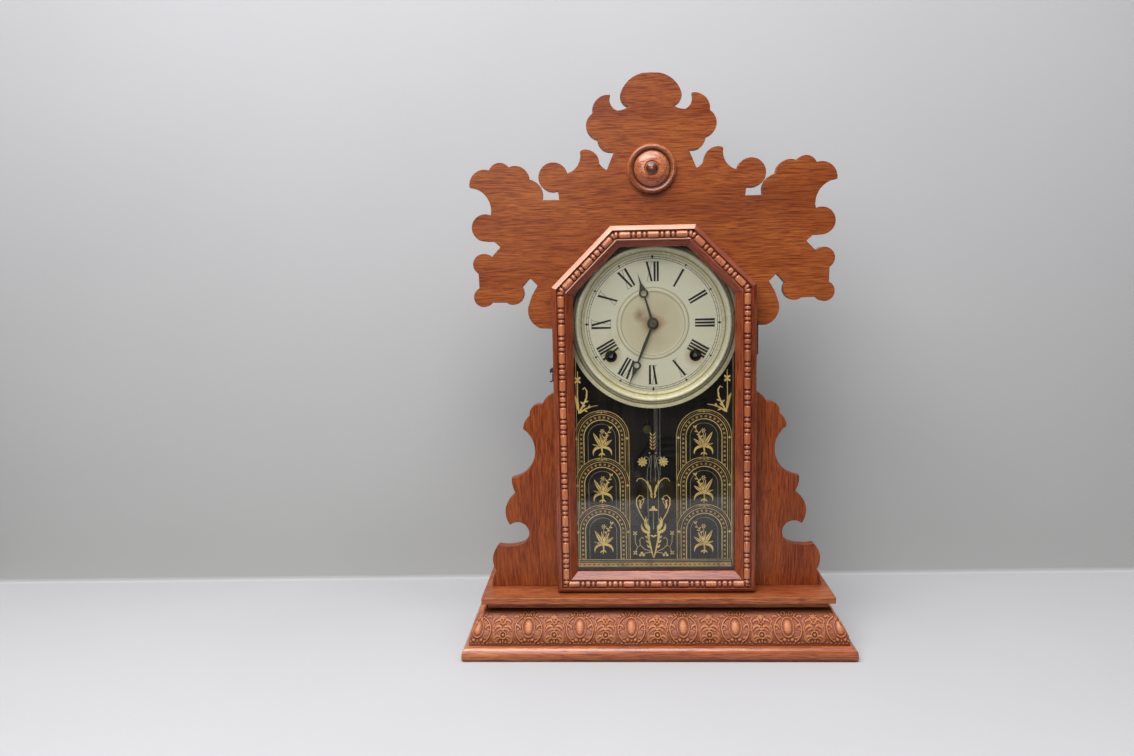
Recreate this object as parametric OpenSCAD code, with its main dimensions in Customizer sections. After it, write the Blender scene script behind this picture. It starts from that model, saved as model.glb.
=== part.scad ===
// Gingerbread shelf clock: an eight-day, striking, pendulum clock in an oak case.
// +Z is up, -Y is the front, and the origin is the middle of the footprint, on the floor.

/* [Base] */
// Width of the plinth board
plinth_w = 381; // [370:1:420]
// Depth of the plinth board, and of the whole clock
plinth_d = 127; // [122:1:150]
// Thickness of the plinth board
plinth_h = 14; // [12:0.5:18]
// Height of the base, floor to the top of its top board
base_h = 60; // [54:0.5:76]
// Width of the base's top board
base_top_w = 342; // [332:1:352]
// Thickness of the base's top board
base_top_t = 6.3; // [5:0.1:8]
// Thickness of the fillet under the top board
fillet_t = 5.4; // [4:0.1:6.5]
// How far the fillet's front stands back from the top board's
fillet_setback = 5; // [3:0.2:7]
// How far the fillet's ends stand back from the top board's ends
fillet_inset = 6.2; // [4:0.2:9]
// How far the pressed moulding's foot stands back from the plinth's edge
moulding_setback = 7; // [6:0.2:9]
// How far the pressed moulding leans back, foot to top
moulding_lean = 14.6; // [12:0.2:15.6]
// Thickness of the moulding strip at its foot
moulding_t = 26.5; // [26:0.5:32]
// How far the top board's front edge stands back from the plinth's
top_setback = 12; // [10:0.5:14]

/* [Case] */
// Outer width of the case box
case_w = 186; // [180:1:190]
// Thickness of the case walls
case_wall = 9; // [7:0.5:9.5]
// Height of the dial's centre above the base
dial_rise = 263; // [253:1:283]
// Depth of the case box in front of its back board
case_depth = 77.5; // [77:0.5:79]
// Thickness of the back board
back_t = 6; // [5:0.5:8]
// How far the ornamental boards stand behind the case's front edge
board_setback = 4; // [2:0.5:6]
// Thickness of the crest and the wings
board_t = 10; // [8:0.5:13]
// Radius of the turned medallion
medallion_r = 23.2; // [20:0.2:26]
// Height of the medallion's centre above the dial's centre
medallion_rise = 147; // [143:1:151]

/* [Door] */
// How far the door's edge stands out past the side of the case
door_overlap = 3.5; // [2.5:0.1:5]
// How far the door's octagon is centred below the dial
door_drop = 3; // [2:0.1:3.4]
// Width of each frame member
member_w = 19.8; // [19:0.2:22]
// Thickness of the door frame
door_t = 21; // [19:0.5:24]
// Gap between the shut door and the case
door_gap = 0.5; // [0.3:0.1:1]
// Gap between the door and the base
door_foot_gap = 1.3; // [0.8:0.1:3]
// Radius of the bead-and-reel moulding
bead_r = 3.4; // [2.8:0.05:3.55]
// Thickness of the glass
glass_t = 2; // [1.6:0.1:2.6]
// Radius of a hinge's knuckle
knuckle_r = 1.9; // [1.8:0.05:2]
// Radius of a hinge's pin
hinge_pin_r = 0.9; // [0.7:0.05:1]
// Height of a hinge
hinge_h = 32; // [26:1:40]
// Height of the door latch above the base
latch_rise = 219; // [216:1:224]

/* [Dial] */
// Gap between the metal dial pan and the case walls
pan_gap = 0.5; // [0.3:0.1:2]
// Width of the pan's flat flange outside the bezel
flange_w = 5.5; // [5:0.1:7]
// Radius of the raised centre ring
centre_ring_r = 32.3; // [31:0.1:35]
// Distance of each winding arbor from the middle, sideways
winding_x = 41; // [40.6:0.1:42]
// Distance of each winding arbor below the dial's centre
winding_drop = 31.5; // [31:0.1:32]
// Radius of a winding hole
winding_hole_r = 4.4; // [4:0.1:5]
// Length of the hour hand
hour_hand_l = 51; // [44:0.5:52]
// How far the minute hand's tip stops short of the bezel
minute_hand_gap = 1; // [0.5:0.5:7]
// Direction of the hour hand, clockwise from twelve
hour_angle = -16.6; // [-30:0.1:30]
// Direction of the minute hand, clockwise from twelve
minute_angle = 201.9; // [190:0.1:210]

/* [Movement] */
// Thickness of each brass plate
plate_t = 1.6; // [1.4:0.1:1.9]
// Distance between the plates
plate_gap = 34.4; // [34:0.1:35]
// Radius of a pivot
pivot_r = 1; // [0.8:0.05:1.1]
// Radial clearance of a pivot in its hole
pivot_play = 0.08; // [0.05:0.01:0.1]
// Radius of an arbor
arbor_r = 1.3; // [1.2:0.05:1.5]
// Radius of a winding arbor
winding_arbor_r = 2.5; // [2.2:0.1:2.8]
// Width of a mainspring
spring_w = 19; // [16:0.5:20]
// Outer radius of a mainspring as it sits between full and let down
spring_r = 27.5; // [24:0.5:28]
// Thickness of a mainspring's strip
spring_t = 0.45; // [0.35:0.05:0.6]
// Coils of a mainspring
spring_turns = 11; // [8:1:13]
// Length of the pendulum, bending point to the middle of the bob
pendulum_l = 240.5; // [236:0.5:250]
// Radius of the pendulum rod
rod_r = 0.75; // [0.6:0.05:0.9]
// Sideways place of the pendulum, clear of the centre arbor
pendulum_x = 6.4; // [6.2:0.1:7]
// Radius of the bob
bob_r = 24; // [20:0.5:27]
// Thickness of the bob
bob_t = 12; // [9:0.5:13]
// Radius of the gong wire
gong_wire_r = 1.5; // [1.2:0.1:2]
// Outer radius of the gong coil
gong_r = 44; // [38:0.5:48]
// Turns of the gong coil
gong_turns = 4.5; // [3.5:0.5:5.5]
// Radius of the hammer's head
hammer_r = 4.5; // [4:0.1:5]

/* [Hidden] */
$fn = 48;

oak = "#a5562b";
oak_dark = "#7c3d20";
pine = "#b98a58";
brass = "#b8954f";
steel = "#5b5d60";
iron = "#33302e";
tin = "#c9c3a4";
paper = "#dcd8c3";

slip = 0.3;                 // side clearance of a piece that is dropped into a rabbet
glue_line = 0.03;           // how far each end of a mitred length stands back for the glue
half_t = tan(22.5);         // an octagon's half side over its apothem

// ---- heights and depths worked out from the sizes above
front = -plinth_d / 2;
back = plinth_d / 2;
dial_z = base_h + dial_rise;
door_z = dial_z - door_drop;
moulding_top = base_h - base_top_t - fillet_t;
case_back = back - back_t;
case_front = case_back - case_depth;
case_a = case_w / 2;
case_in = case_a - case_wall;
board_front = case_front + board_setback;
board_back = board_front + board_t;
door_a = case_a + door_overlap;
door_back = case_front - door_gap;
door_front = door_back - door_t;
door_foot = base_h + door_foot_gap;
glass_seat = door_front + 9.3;          // front face of the glass
rabbet = member_w - 6;                  // depth of the solid part of a member, edge to rabbet
pan_front = case_front + 6;             // flange of the dial pan
sheet_t = 0.7;                          // sheet metal of the dial pan
plate_1 = case_front + 28;              // front face of the front plate
plate_2 = plate_1 + plate_t + plate_gap;// front face of the back plate
bay = plate_1 + plate_t;                // where the space between the plates starts

// ---- drawing helpers

// Extrudes a shape drawn in X and Z from depth y0 to depth y1.
module slab(y0, y1) {
    translate([0, y1, 0]) rotate([90, 0, 0]) linear_extrude(y1 - y0) children();
}

// A shaft along Y at [x, z], from depth y0 to depth y1.
module shaft(at, r, y0, y1, sides = 48) {
    translate([at[0], y0, at[1]]) rotate([-90, 0, 0]) cylinder(r = r, h = y1 - y0, $fn = sides);
}

// A turned shape: its profile is [radius, height] with the height standing out towards the front.
module turned(at, y) {
    translate([at[0], y, at[1]]) rotate([90, 0, 0]) rotate_extrude() children();
}

// A round wire between two points.
module wire(p, q, r) {
    d = q - p;
    l = norm(d);
    translate(p) rotate([0, acos(d[2] / l), atan2(d[1], d[0])]) cylinder(r = r, h = l, $fn = 24);
}

// Points of an arc from p to q whose middle stands out by sag to the right of the way from p to q.
// The last point is left to the next arc.
function arc(p, q, sag, step = 12) =
    let(d = q - p, c = norm(d), right = [d[1], -d[0]] / c)
    abs(sag) < 0.01 ? [p] :
    let(r = (c * c / 4 + sag * sag) / (2 * sag), o = (p + q) / 2 + right * (sag - r),
        turn = 4 * atan(2 * sag / c), n = max(2, ceil(abs(turn) / step)), v = p - o)
    [for (i = [0 : n - 1]) let(a = turn * i / n)
        o + [v[0] * cos(a) - v[1] * sin(a), v[0] * sin(a) + v[1] * cos(a)]];

// An outline from rows of [x, z, sag of the arc that leads to the next row]. It stays open.
function outline(rows) = [for (i = [0 : len(rows) - 2])
    each arc([rows[i][0], rows[i][1]], [rows[i + 1][0], rows[i + 1][1]], rows[i][2])];

function mirrored(points) = [for (i = [len(points) - 1 : -1 : 0]) [-points[i][0], points[i][1]]];

// Corners of a shape with upright sides and the top half of an octagon centred at height z.
function octagon_top(a, foot, z) = [[-a, foot], [a, foot], [a, z + a * half_t], [a * half_t, z + a],
    [-a * half_t, z + a], [-a, z + a * half_t]];
function door_outline(inset) = octagon_top(door_a - inset, door_foot + inset, door_z);

// Plan of a mitred length from a to b, whose inner side runs from d to c.
function mitred(a, b, c, d) = let(t = glue_line * (b - a) / norm(b - a)) [a + t, b - t, c - t, d + t];

// ---- base

// Plan outline of a band that follows the base's front and sides.
function base_band(s) = [[-plinth_w / 2 + s, front + s], [plinth_w / 2 - s, front + s]];

// Edge of the plinth board: [distance in from the edge, height].
plinth_edge = [[2.2, 0], [0.7, 1], [0, 3], [0, plinth_h - 8], [0.4, plinth_h - 5.2], [1.4, plinth_h - 3],
    [3, plinth_h - 1.2], [5.2, plinth_h - 0.3], [8, plinth_h]];

module plinth_board() {
    front_edge = [for (p = plinth_edge) [front + p[0], p[1]]];
    side_edge = [for (p = plinth_edge) [-plinth_w / 2 + p[0], p[1]]];
    color(oak) intersection() {
        translate([-plinth_w / 2, 0, 0]) rotate([90, 0, 90])
            linear_extrude(plinth_w) polygon(concat(front_edge, [[back, plinth_h], [back, 0]]));
        slab(front, back) polygon(concat(side_edge, mirrored(side_edge)));
    }
}

// Section of the pressed moulding: a steep foot, a round belly, and a slope back to its top.
moulding_h = moulding_top - plinth_h;
moulding_form = [[0, 0], [0.03, 0.09], [0.1, 0.235], [0.22, 0.34], [0.45, 0.48], [0.7, 0.65], [0.9, 0.81],
    [1, 0.87], [1.3, 0.9], [1.4, 1]];
moulding_profile = concat([for (p = moulding_form)
        [moulding_setback + moulding_lean * p[0], plinth_h + moulding_h * p[1]]],
    [[moulding_setback + moulding_t, moulding_top], [moulding_setback + moulding_t, plinth_h]]);

module base_front_moulding() {
    far = moulding_setback + moulding_t + 1;
    color(oak_dark) intersection() {
        translate([-plinth_w / 2, 0, 0]) rotate([90, 0, 90])
            linear_extrude(plinth_w) polygon([for (p = moulding_profile) [front + p[0], p[1]]]);
        translate([0, 0, plinth_h]) linear_extrude(moulding_h)
            polygon(concat(base_band(0), [base_band(far)[1], base_band(far)[0]]));
    }
}

module base_side_mouldings() {
    far = moulding_setback + moulding_t + 1;
    color(oak_dark) for (side = [0, 1]) mirror([side, 0, 0]) intersection() {
        slab(front, back) polygon([for (p = moulding_profile) [-plinth_w / 2 + p[0], p[1]]]);
        translate([0, 0, plinth_h]) linear_extrude(moulding_h)
            polygon([base_band(0)[0], base_band(far)[0], [-plinth_w / 2 + far, back],
                [-plinth_w / 2, back]]);
    }
}

module base_back_rail() {
    rail_w = plinth_w - 2 * (moulding_setback + moulding_t);
    color(pine) translate([-rail_w / 2, back - 10, plinth_h]) cube([rail_w, 10, moulding_h]);
}

module base_top_board() {
    fillet_w = base_top_w - 2 * fillet_inset;
    fillet_front = front + top_setback + fillet_setback;
    color(oak) {
        translate([-base_top_w / 2, front + top_setback, base_h - base_top_t])
            cube([base_top_w, plinth_d - top_setback, base_top_t]);
        translate([-fillet_w / 2, fillet_front, moulding_top])
            cube([fillet_w, back - fillet_front, fillet_t]);
    }
}

// ---- case

case_outer = octagon_top(case_a, base_h, dial_z);
case_inner = octagon_top(case_in, base_h, dial_z);

// Wall of the case between corner i and the next one, mitred at both ends.
module case_wall_board(i) {
    j = (i + 1) % 6;
    slab(case_front, case_back) polygon(mitred(case_outer[i], case_outer[j], case_inner[j], case_inner[i]));
}

module case_side_right() { color(oak) case_wall_board(1); }

module case_side_left() {
    color(oak) difference() {
        case_wall_board(5);
        latch_pin(latch_pivot, latch_screw_r, 7, case_a);
    }
}

module case_roof_boards() { color(oak) for (i = [2 : 4]) case_wall_board(i); }

module case_back_board() {
    color(pine) difference() {
        slab(case_back, back) polygon(case_outer);
        for (at = feet) shaft(at, foot_peg_r, case_back - 1, case_back + foot_peg_l);
    }
}

// Left half of the crest's sawn edge, top to bottom, about the centre of the door's octagon: [x, z, sag].
crest_edge = [[0, 239, 0], [-8, 238.6, 4], [-28.8, 220, 3], [-21, 208.2, -0.8], [-32, 204.8, -3.2],
    [-38.3, 219.5, 6], [-55.4, 202.9, 8.3], [-51.1, 178.2, 4.6], [-35.5, 166.9, 0], [-42.5, 150.1, -0.8],
    [-49.5, 156.5, 4.5], [-64.5, 169.6, 0.5], [-67.8, 167.5, -4.6], [-80.2, 147.8, 24.5], [-89.4, 131.1, 0],
    [-88.4, 123.2, 0], [-105, 123.4, 5.2], [-116.9, 143.1, 6.1], [-136.3, 154.9, 5.6], [-155.2, 152.6, 7],
    [-174.6, 136.6, -7.5], [-154.8, 109.9, 14.8], [-163, 85.2, 0.3], [-152.1, 84.6, 0], [-146.4, 79.4, 0],
    [-155.3, 69.8, 12], [-168.4, 54.2, 0], [-168, 40.2, 12.3], [-155.9, 25.9, 0], [-142, 25.6, 9],
    [-126.3, 40, 0], [-118.4, 48.9, 0], [-111.3, 41.9, 1], [-120.8, 21, 4.6], [-109, 0, 0]];

module crest_board() {
    half = [for (p = outline(concat(crest_edge, [[-case_a, -0.5, 0]]))) [p[0], door_z + p[1]]];
    full = concat(half, [[-case_a, door_z - 0.5]], [[case_a, door_z - 0.5]], mirrored(half));
    color(oak) slab(board_front, board_back) difference() {
        polygon(full);
        polygon(case_outer);
    }
}

// Outer edge of the left wing, top to foot, above the base: [x, z, sag].
wing_top = 197;
wing_edge = [[-109.5, 185.2, 4.7], [-122.1, 173.8, 1.9], [-129, 160.8, -17.5], [-141.8, 111.2, 1.2],
    [-138, 95.4, 7.3], [-144.7, 63.2, -13.6], [-133, 43.7, -0.5], [-145, 41.6, -0.6], [-156.4, 42.6, 4.9],
    [-159.8, 16, 1.2], [-164.4, 0, 0]];

module wing() {
    edge = outline(concat([[-case_a, wing_top, 3]], wing_edge, [[-case_a, 0, 0]]));
    slab(board_front, board_back)
        polygon(concat([for (p = edge) [p[0], base_h + p[1]]], [[-case_a, base_h]]));
}

module wing_left() { color(oak) wing(); }
module wing_right() { color(oak) mirror([1, 0, 0]) wing(); }

module crest_medallion() {
    r = medallion_r;
    color(oak) turned([0, dial_z + medallion_rise], board_front) polygon([[0, 0], [r, 0], [r, 3.4],
        [r - 0.7, 5.2], [r - 2.2, 6.3], [r - 3.6, 6], [r - 4.9, 4.6], [r - 5.3, 3.2], [r - 6.2, 4],
        [r - 9, 6], [r - 12.5, 7.6],
        [r - 15.8, 8.4], [r - 16.2, 6.8], [r - 17, 8.2], [r - 19, 9.8], [r - 21, 10.6], [0, 11]]);
}

// ---- door

// Section of a frame member: [distance in from the outer edge, depth].
member_section = [[0, door_front + 3.8], [1.2, door_front + 2.2], [2.8, door_front + 0.8], [4.2, door_front],
    [4.6, door_front], [4.9, door_front + 2.8], [12.5, door_front + 2.8], [12.8, door_front + 0.8],
    [13.6, door_front + 0.6], [member_w, glass_seat - 1.6], [member_w, glass_seat], [rabbet, glass_seat],
    [rabbet, door_back], [0, door_back]];
bead_d = 8.7;                           // distance of the bead moulding's middle from the door's edge
bead_y = door_front + 2.8;              // depth of the groove that it lies in
bead_section = [for (i = [0 : 8]) [bead_d - bead_r * cos(22.5 * i), bead_y - bead_r * sin(22.5 * i)]];
strip_w = 4.2;
strip_section = [[rabbet + slip, glass_seat + glass_t], [rabbet + slip + strip_w, glass_seat + glass_t],
    [rabbet + slip, glass_seat + glass_t + strip_w]];

// A length with the given section along door edge i, mitred where it meets its neighbours.
module door_member(i, section) {
    edge = door_outline(0);
    p = edge[i];
    q = edge[(i + 1) % 6];
    inner = door_outline(member_w + 6);
    intersection() {
        translate([p[0], 0, p[1]]) rotate([0, -atan2(q[1] - p[1], q[0] - p[0]), 0]) rotate([90, 0, 90])
            linear_extrude(norm(q - p)) polygon([for (s = section) [s[1], s[0]]]);
        slab(door_front - 1, door_back + 1) polygon(mitred(p, q, inner[(i + 1) % 6], inner[i]));
    }
}

module door_bottom_rail() { color(oak) door_member(0, member_section); }
module door_stile_right() { color(oak) door_member(1, member_section); }
module door_upper_rails() { color(oak) for (i = [2 : 4]) door_member(i, member_section); }
module door_bead_mouldings() { color(oak_dark) for (i = [0 : 5]) door_member(i, bead_section); }
module glass_retaining_strips() { color(pine) for (i = [0 : 5]) door_member(i, strip_section); }

module door_stile_left() {
    color(oak) difference() {
        door_member(5, member_section);
        latch_pin(latch_stud_at, latch_stud_r, 6, door_a);
    }
}

module door_glass() {
    color("#aab5b4", 0.4) slab(glass_seat, glass_seat + glass_t) polygon(door_outline(rabbet + slip));
}

// Hinges on the right: the pins stand beside the door's back edge.
hinge_x = door_a + knuckle_r + 0.2;
hinge_y = door_back + 0.25;
hinge_rises = [52, 248];                // heights of the hinges' middles above the base
leaf_t = 1;
knuckle_play = 0.08;
knuckle_l = hinge_h / 3;

module knuckle(z0, z1) {
    translate([hinge_x, hinge_y, z0]) cylinder(r = knuckle_r, h = z1 - z0);
}

module door_hinge_leaves() {
    color(brass) for (rise = hinge_rises) translate([0, 0, base_h + rise]) difference() {
        union() {
            translate([door_a, hinge_y - 9.5, -hinge_h / 2]) cube([leaf_t, 9, hinge_h]);
            translate([door_a, hinge_y - 1.5, -knuckle_l / 2 + 0.2]) cube([knuckle_r, 1, knuckle_l - 0.4]);
            knuckle(-knuckle_l / 2 + 0.2, knuckle_l / 2 - 0.2);
        }
        translate([hinge_x, hinge_y, -hinge_h]) cylinder(r = hinge_pin_r + knuckle_play, h = 2 * hinge_h);
        for (end = [-1, 1])
            translate([door_a - 1, hinge_y - knuckle_r - 0.3, end * hinge_h / 3 - knuckle_l / 2])
            cube([knuckle_r * 2 + 3, knuckle_r * 2, knuckle_l]);
    }
}

module case_hinge_leaves() {
    color(brass) for (rise = hinge_rises) translate([0, 0, base_h + rise]) {
        for (end = [-1, 1]) translate([0, 0, end * hinge_h / 3]) {
            knuckle(-knuckle_l / 2, knuckle_l / 2);
            translate([case_a, hinge_y + knuckle_r - leaf_t, -knuckle_l / 2])
                cube([hinge_x - case_a, leaf_t, knuckle_l]);
        }
        translate([case_a, hinge_y + knuckle_r - leaf_t, -hinge_h / 2])
            cube([leaf_t, board_front - hinge_y - knuckle_r + leaf_t, hinge_h]);
        translate([hinge_x, hinge_y, -hinge_h / 2 - 1]) cylinder(r = hinge_pin_r, h = hinge_h + 2);
    }
}

// Latch on the left: a hook on the case's side, drawn hanging free. It swings back and over the top,
// and drops over a stud on the door's side.
latch_z = base_h + latch_rise;
latch_pivot = [case_front + 4, latch_z];
latch_reach = 8.2;                      // distance from the hook's screw to the stud
latch_stud_at = latch_pivot - [latch_reach, 0];
latch_screw_r = 1.2;
latch_stud_r = 1.1;
latch_x = door_a + 0.8;                 // inner face of the hook, counted outwards
latch_t = 1.4;

// A pin along X on the left side, sunk by depth into a face at x = -face, standing out to `out`.
module latch_pin(at, r, depth, face, out = 0) {
    translate([-face - out, at[0], at[1]]) rotate([0, 90, 0]) cylinder(r = r, h = out + depth);
}

module latch_screw() {
    color(iron) {
        latch_pin(latch_pivot, latch_screw_r, 7, case_a, latch_x - case_a + latch_t + 0.4);
        translate([-latch_x + 0.2, latch_pivot[0], latch_pivot[1]]) rotate([0, 90, 0])
            cylinder(r = 2.2, h = latch_x - case_a - 0.2);
        translate([-latch_x - latch_t - 1.4, latch_pivot[0], latch_pivot[1]]) rotate([0, 90, 0])
            cylinder(r1 = 1.4, r2 = 2.4, h = 1.1);
    }
}

module latch_stud() {
    color(iron) {
        latch_pin(latch_stud_at, latch_stud_r, 6, door_a, latch_x - door_a + latch_t + 0.8);
        translate([-latch_x - latch_t - 1.8, latch_stud_at[0], latch_stud_at[1]]) rotate([0, 90, 0])
            cylinder(r = 1.9, h = 1);
    }
}

module latch_hook() {
    gap = latch_stud_r + 0.35;
    near = gap - latch_reach;           // upper and lower side of the slot that takes the stud
    far = -gap - latch_reach;
    color(iron) translate([-latch_x - latch_t, latch_pivot[0], latch_pivot[1]]) {
        rotate([90, 0, 90]) linear_extrude(latch_t) difference() {
            union() {
                circle(r = 2.7);
                polygon([[1.8, 0], [1.8, near], [-gap, near], [-gap, far], [1.4, far], [0.6, far - 1.6],
                    [-gap - 2, far - 1], [-gap - 2.2, near], [-1.8, -2]]);
            }
            circle(r = latch_screw_r + 0.08);
        }
        wire([latch_t / 2, -gap / 2, far - 0.6], [-2.6, -gap / 2, far - 1.8], 0.6);
    }
}

// ---- dial

centre = [0, 0];                        // places on the dial and in the movement are about this centre
winding_time = [winding_x, -winding_drop];
winding_strike = [-winding_x, -winding_drop];
bezel_w = 11;
bezel_h = 8.4;
pan_r = case_in - pan_gap;
face_r = pan_r - flange_w - bezel_w;    // radius of the dial face inside the bezel
minute_hand_l = face_r - minute_hand_gap;
centre_hole_r = 3.6;
grommet_t = 0.6;
screw_angles = [0, 45, 135, 180];
screw_ring = pan_r - flange_w / 2;
dial_screw_r = 0.9;
block_w = 16;
block_l = 12;

module on_dial() { translate([0, 0, dial_z]) children(); }

module dial_pan() {
    arch = function(r, h, c) [for (i = [0 : 8]) [c + r * cos(22.5 * i), sheet_t + h * sin(22.5 * i)]];
    mid = face_r + bezel_w / 2;
    under = arch(bezel_w / 2 - sheet_t, bezel_h - sheet_t, mid);
    color(tin) difference() {
        turned([0, dial_z], pan_front + sheet_t) polygon(concat([[pan_r, 0], [pan_r, sheet_t]],
            arch(bezel_w / 2, bezel_h, mid), [[centre_hole_r, sheet_t], [centre_hole_r, 0]],
            [[mid - bezel_w / 2 + sheet_t, 0]], [for (i = [8 : -1 : 0]) under[i]],
            [[mid + bezel_w / 2 - sheet_t, 0]]));
        on_dial() {
            for (at = [winding_time, winding_strike])
                shaft(at, winding_hole_r + grommet_t, pan_front - 2, pan_front + 2);
            for (a = screw_angles)
                shaft(screw_ring * [cos(a), sin(a)], dial_screw_r, pan_front - 2, pan_front + 2);
        }
    }
}

module dial_face() {
    r = face_r - 0.6;
    ring = centre_ring_r;
    color(paper) difference() {
        turned([0, dial_z], pan_front) polygon([[centre_hole_r, 0], [r, 0], [r, 0.3], [ring + 2.7, 0.3],
            [ring + 1.9, 0.9], [ring + 0.7, 1.2], [ring - 0.7, 1.2], [ring - 1.9, 0.9], [ring - 2.7, 0.3],
            [centre_hole_r, 0.3]]);
        on_dial() for (at = [winding_time, winding_strike])
            shaft(at, winding_hole_r + grommet_t, pan_front - 2, pan_front + 2);
    }
}

module winding_grommets() {
    r = winding_hole_r;
    color(brass) for (at = [winding_time, winding_strike])
        turned([at[0], dial_z + at[1]], pan_front) polygon([[r, -1.6], [r + grommet_t, -1.6],
            [r + grommet_t, 0.3], [r + 1.5, 0.3], [r + 1.3, 0.8], [r + 0.4, 1], [r, 0.7]]);
}

// Blocks glued inside the case carry the pan's flange.
module dial_blocks() {
    color(pine) difference() {
        on_dial() for (a = screw_angles) rotate([0, -a, 0])
            translate([screw_ring - flange_w / 2 - 1, pan_front + sheet_t, -block_w / 2])
                cube([case_in - screw_ring + flange_w / 2 + 1, block_l, block_w]);
        on_dial() for (a = screw_angles)
            shaft(screw_ring * [cos(a), sin(a)], dial_screw_r, pan_front, pan_front + sheet_t + 8);
    }
}

module dial_screws() {
    color(steel) on_dial() for (a = screw_angles) {
        at = screw_ring * [cos(a), sin(a)];
        shaft(at, dial_screw_r, pan_front - 0.1, pan_front + sheet_t + 8);
        turned(at, pan_front) polygon([[0, 0], [2, 0], [1.7, 0.7], [1, 1.1], [0, 1.2]]);
    }
}

hour_hand_y = pan_front - 3.2;          // front faces of the hands
minute_hand_y = pan_front - 5.6;
hand_t = 0.8;
hub_r = 5.6;
hour_pipe_r = 2.6;

// A hand seen flat, pointing up: a stem from the hub to an open eye, then a spear that thins quickly.
// root and belly are half the stem's width at the hub and half way along it.
module hand(l, eye, bore, ring, root, belly, hub) {
    neck = 0.6;
    shoulder = ring * 0.7;
    spear = eye + shoulder;
    thinned = spear + (l - spear) * 0.4;
    difference() {
        union() {
            circle(r = hub);
            polygon([[-root, 0], [-belly, eye / 2], [-neck, eye], [neck, eye], [belly, eye / 2], [root, 0]]);
            polygon([[-shoulder, spear], [-shoulder * 0.28, thinned], [0, l],
                [shoulder * 0.28, thinned], [shoulder, spear]]);
            translate([0, eye]) circle(r = ring);
        }
        circle(r = bore);
        translate([0, eye]) circle(r = ring - 1.7);
    }
}

module hour_hand() {
    color(iron) on_dial() slab(hour_hand_y, hour_hand_y + hand_t)
        rotate(-hour_angle) hand(hour_hand_l, hour_hand_l - 20.2, hour_pipe_r, 4.5, 1.3, 1.1, hub_r);
}

module minute_hand() {
    color(iron) on_dial() slab(minute_hand_y, minute_hand_y + hand_t)
        rotate(-minute_angle) hand(minute_hand_l, minute_hand_l - 22.4, arbor_r, 4.2, 0.95, 1.6, hub_r - 1.4);
}

module hand_nut() {
    color(brass) on_dial() difference() {
        turned(centre, minute_hand_y) polygon([[0, 0], [3.4, 0], [3.4, 1.1], [2.6, 1.8], [0, 1.8]]);
        shaft(centre, arbor_r, minute_hand_y - 3, minute_hand_y + 1);
    }
}

// ---- movement: wheels, all about the dial's centre

// Places of the arbors, worked out from the wheels that mesh.
function toward(p, angle, l) = p + l * [cos(angle), sin(angle)];
// The point at distance ra from a and rb from b, on the left of the way from a to b.
function meet(a, b, ra, rb) = let(d = norm(b - a), u = (b - a) / d,
    s = (d * d + ra * ra - rb * rb) / (2 * d), h = sqrt(ra * ra - s * s)) a + s * u + h * [-u[1], u[0]];

great_n = 64;
great_m = 1;
second_pinion_n = 16;
second_n = 48;
second_m = 0.8;
centre_pinion_n = 12;
fine_n = 84;
fine_m = 0.5;
fine_pinion_n = 9;
warning_n = 60;
fly_pinion_n = 8;
great_reach = great_m * (great_n + second_pinion_n) / 2;
second_reach = second_m * (second_n + centre_pinion_n) / 2;
fine_reach = fine_m * (fine_n + fine_pinion_n) / 2;
fly_reach = fine_m * (warning_n + fly_pinion_n) / 2;

time_second = meet(centre, winding_time, second_reach, great_reach);
escape = [pendulum_x, 42];
time_fourth = meet(centre, escape, fine_reach, fine_reach);
verge = escape + [0, 21];               // the pendulum's bending point is in line with the verge's arbor
strike_second = [-time_second[0], time_second[1]];
strike_third = toward(strike_second, 120, second_reach);
strike_warning = toward(strike_third, 60, fine_reach);
strike_fly_at = toward(strike_warning, 100, fly_reach);
hammer_at = [-4.5, -64];

minute_m = 0.6;
minute_pinion_n = 10;
minute_wheel_n = 30;
hour_pinion_n = 8;
hour_wheel_n = 32;
minute_reach = minute_m * (minute_pinion_n + minute_wheel_n) / 2;
minute_at = toward(centre, -90, minute_reach);

// Depths of the wheels: front face and back face, counted from the front plate's back face.
great_y = [2, 4];
ratchet_y = [4.6, 6.6];
second_pinion_y = [1, 5];
second_y = [8.4, 9.9];
strike_second_y = [5.6, 7.1];           // clear of the centre arbor's pinion
centre_pinion_y = [7.6, 10.8];
centre_y = [12.4, 13.6];
fourth_pinion_y = [11.2, 14.8];
fourth_y = [19.4, 20.6];
third_y = [15.9, 17.1];
third_pinion_y = [4.8, 8];
warning_pinion_y = [14.4, 18.4];
warning_y = [22.4, 23.6];
fly_pinion_y = [21, 25];
fly_y = [3.4, 18.4];
escape_pinion_y = [18, 22];
escape_y = [26.4, 27.6];
spring_y0 = 12.4;
motion_y = plate_1 - 5.4;               // front face of the hour wheel, in front of the plate

// A toothed wheel seen flat. The teeth's width is a share of their pitch, and phase turns the first one.
module toothed(n, m, phase, share, head, foot = 1.15) {
    r = n * m / 2;
    half = 180 * share / n;
    polygon([for (i = [0 : n - 1]) each let(a = phase + 360 * i / n)
        [for (p = [[r - foot * m, -half], [r, -half], [r + head * m, -0.35 * half],
            [r + head * m, 0.35 * half],
            [r, half], [r - foot * m, half]]) p[0] * [cos(a + p[1]), sin(a + p[1])]]]);
}

module wheel(at, n, m, y, phase = 0, bore = 0) {
    slab(bay + y[0], bay + y[1]) translate(at) difference() {
        toothed(n, m, phase, 0.42, 0.9);
        if (bore > 0) circle(r = bore);
    }
}

module pinion(at, n, m, y, phase) {
    slab(bay + y[0], bay + y[1]) translate(at) toothed(n, m, phase, 0.36, 0.7);
}

// Phase that sets wheel b's teeth between those of wheel a, whose first tooth points along +X.
function mesh(na, nb, a, b) = let(phi = atan2(b[1] - a[1], b[0] - a[0]))
    phi + 180 + 180 / nb + phi * na / nb;

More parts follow.
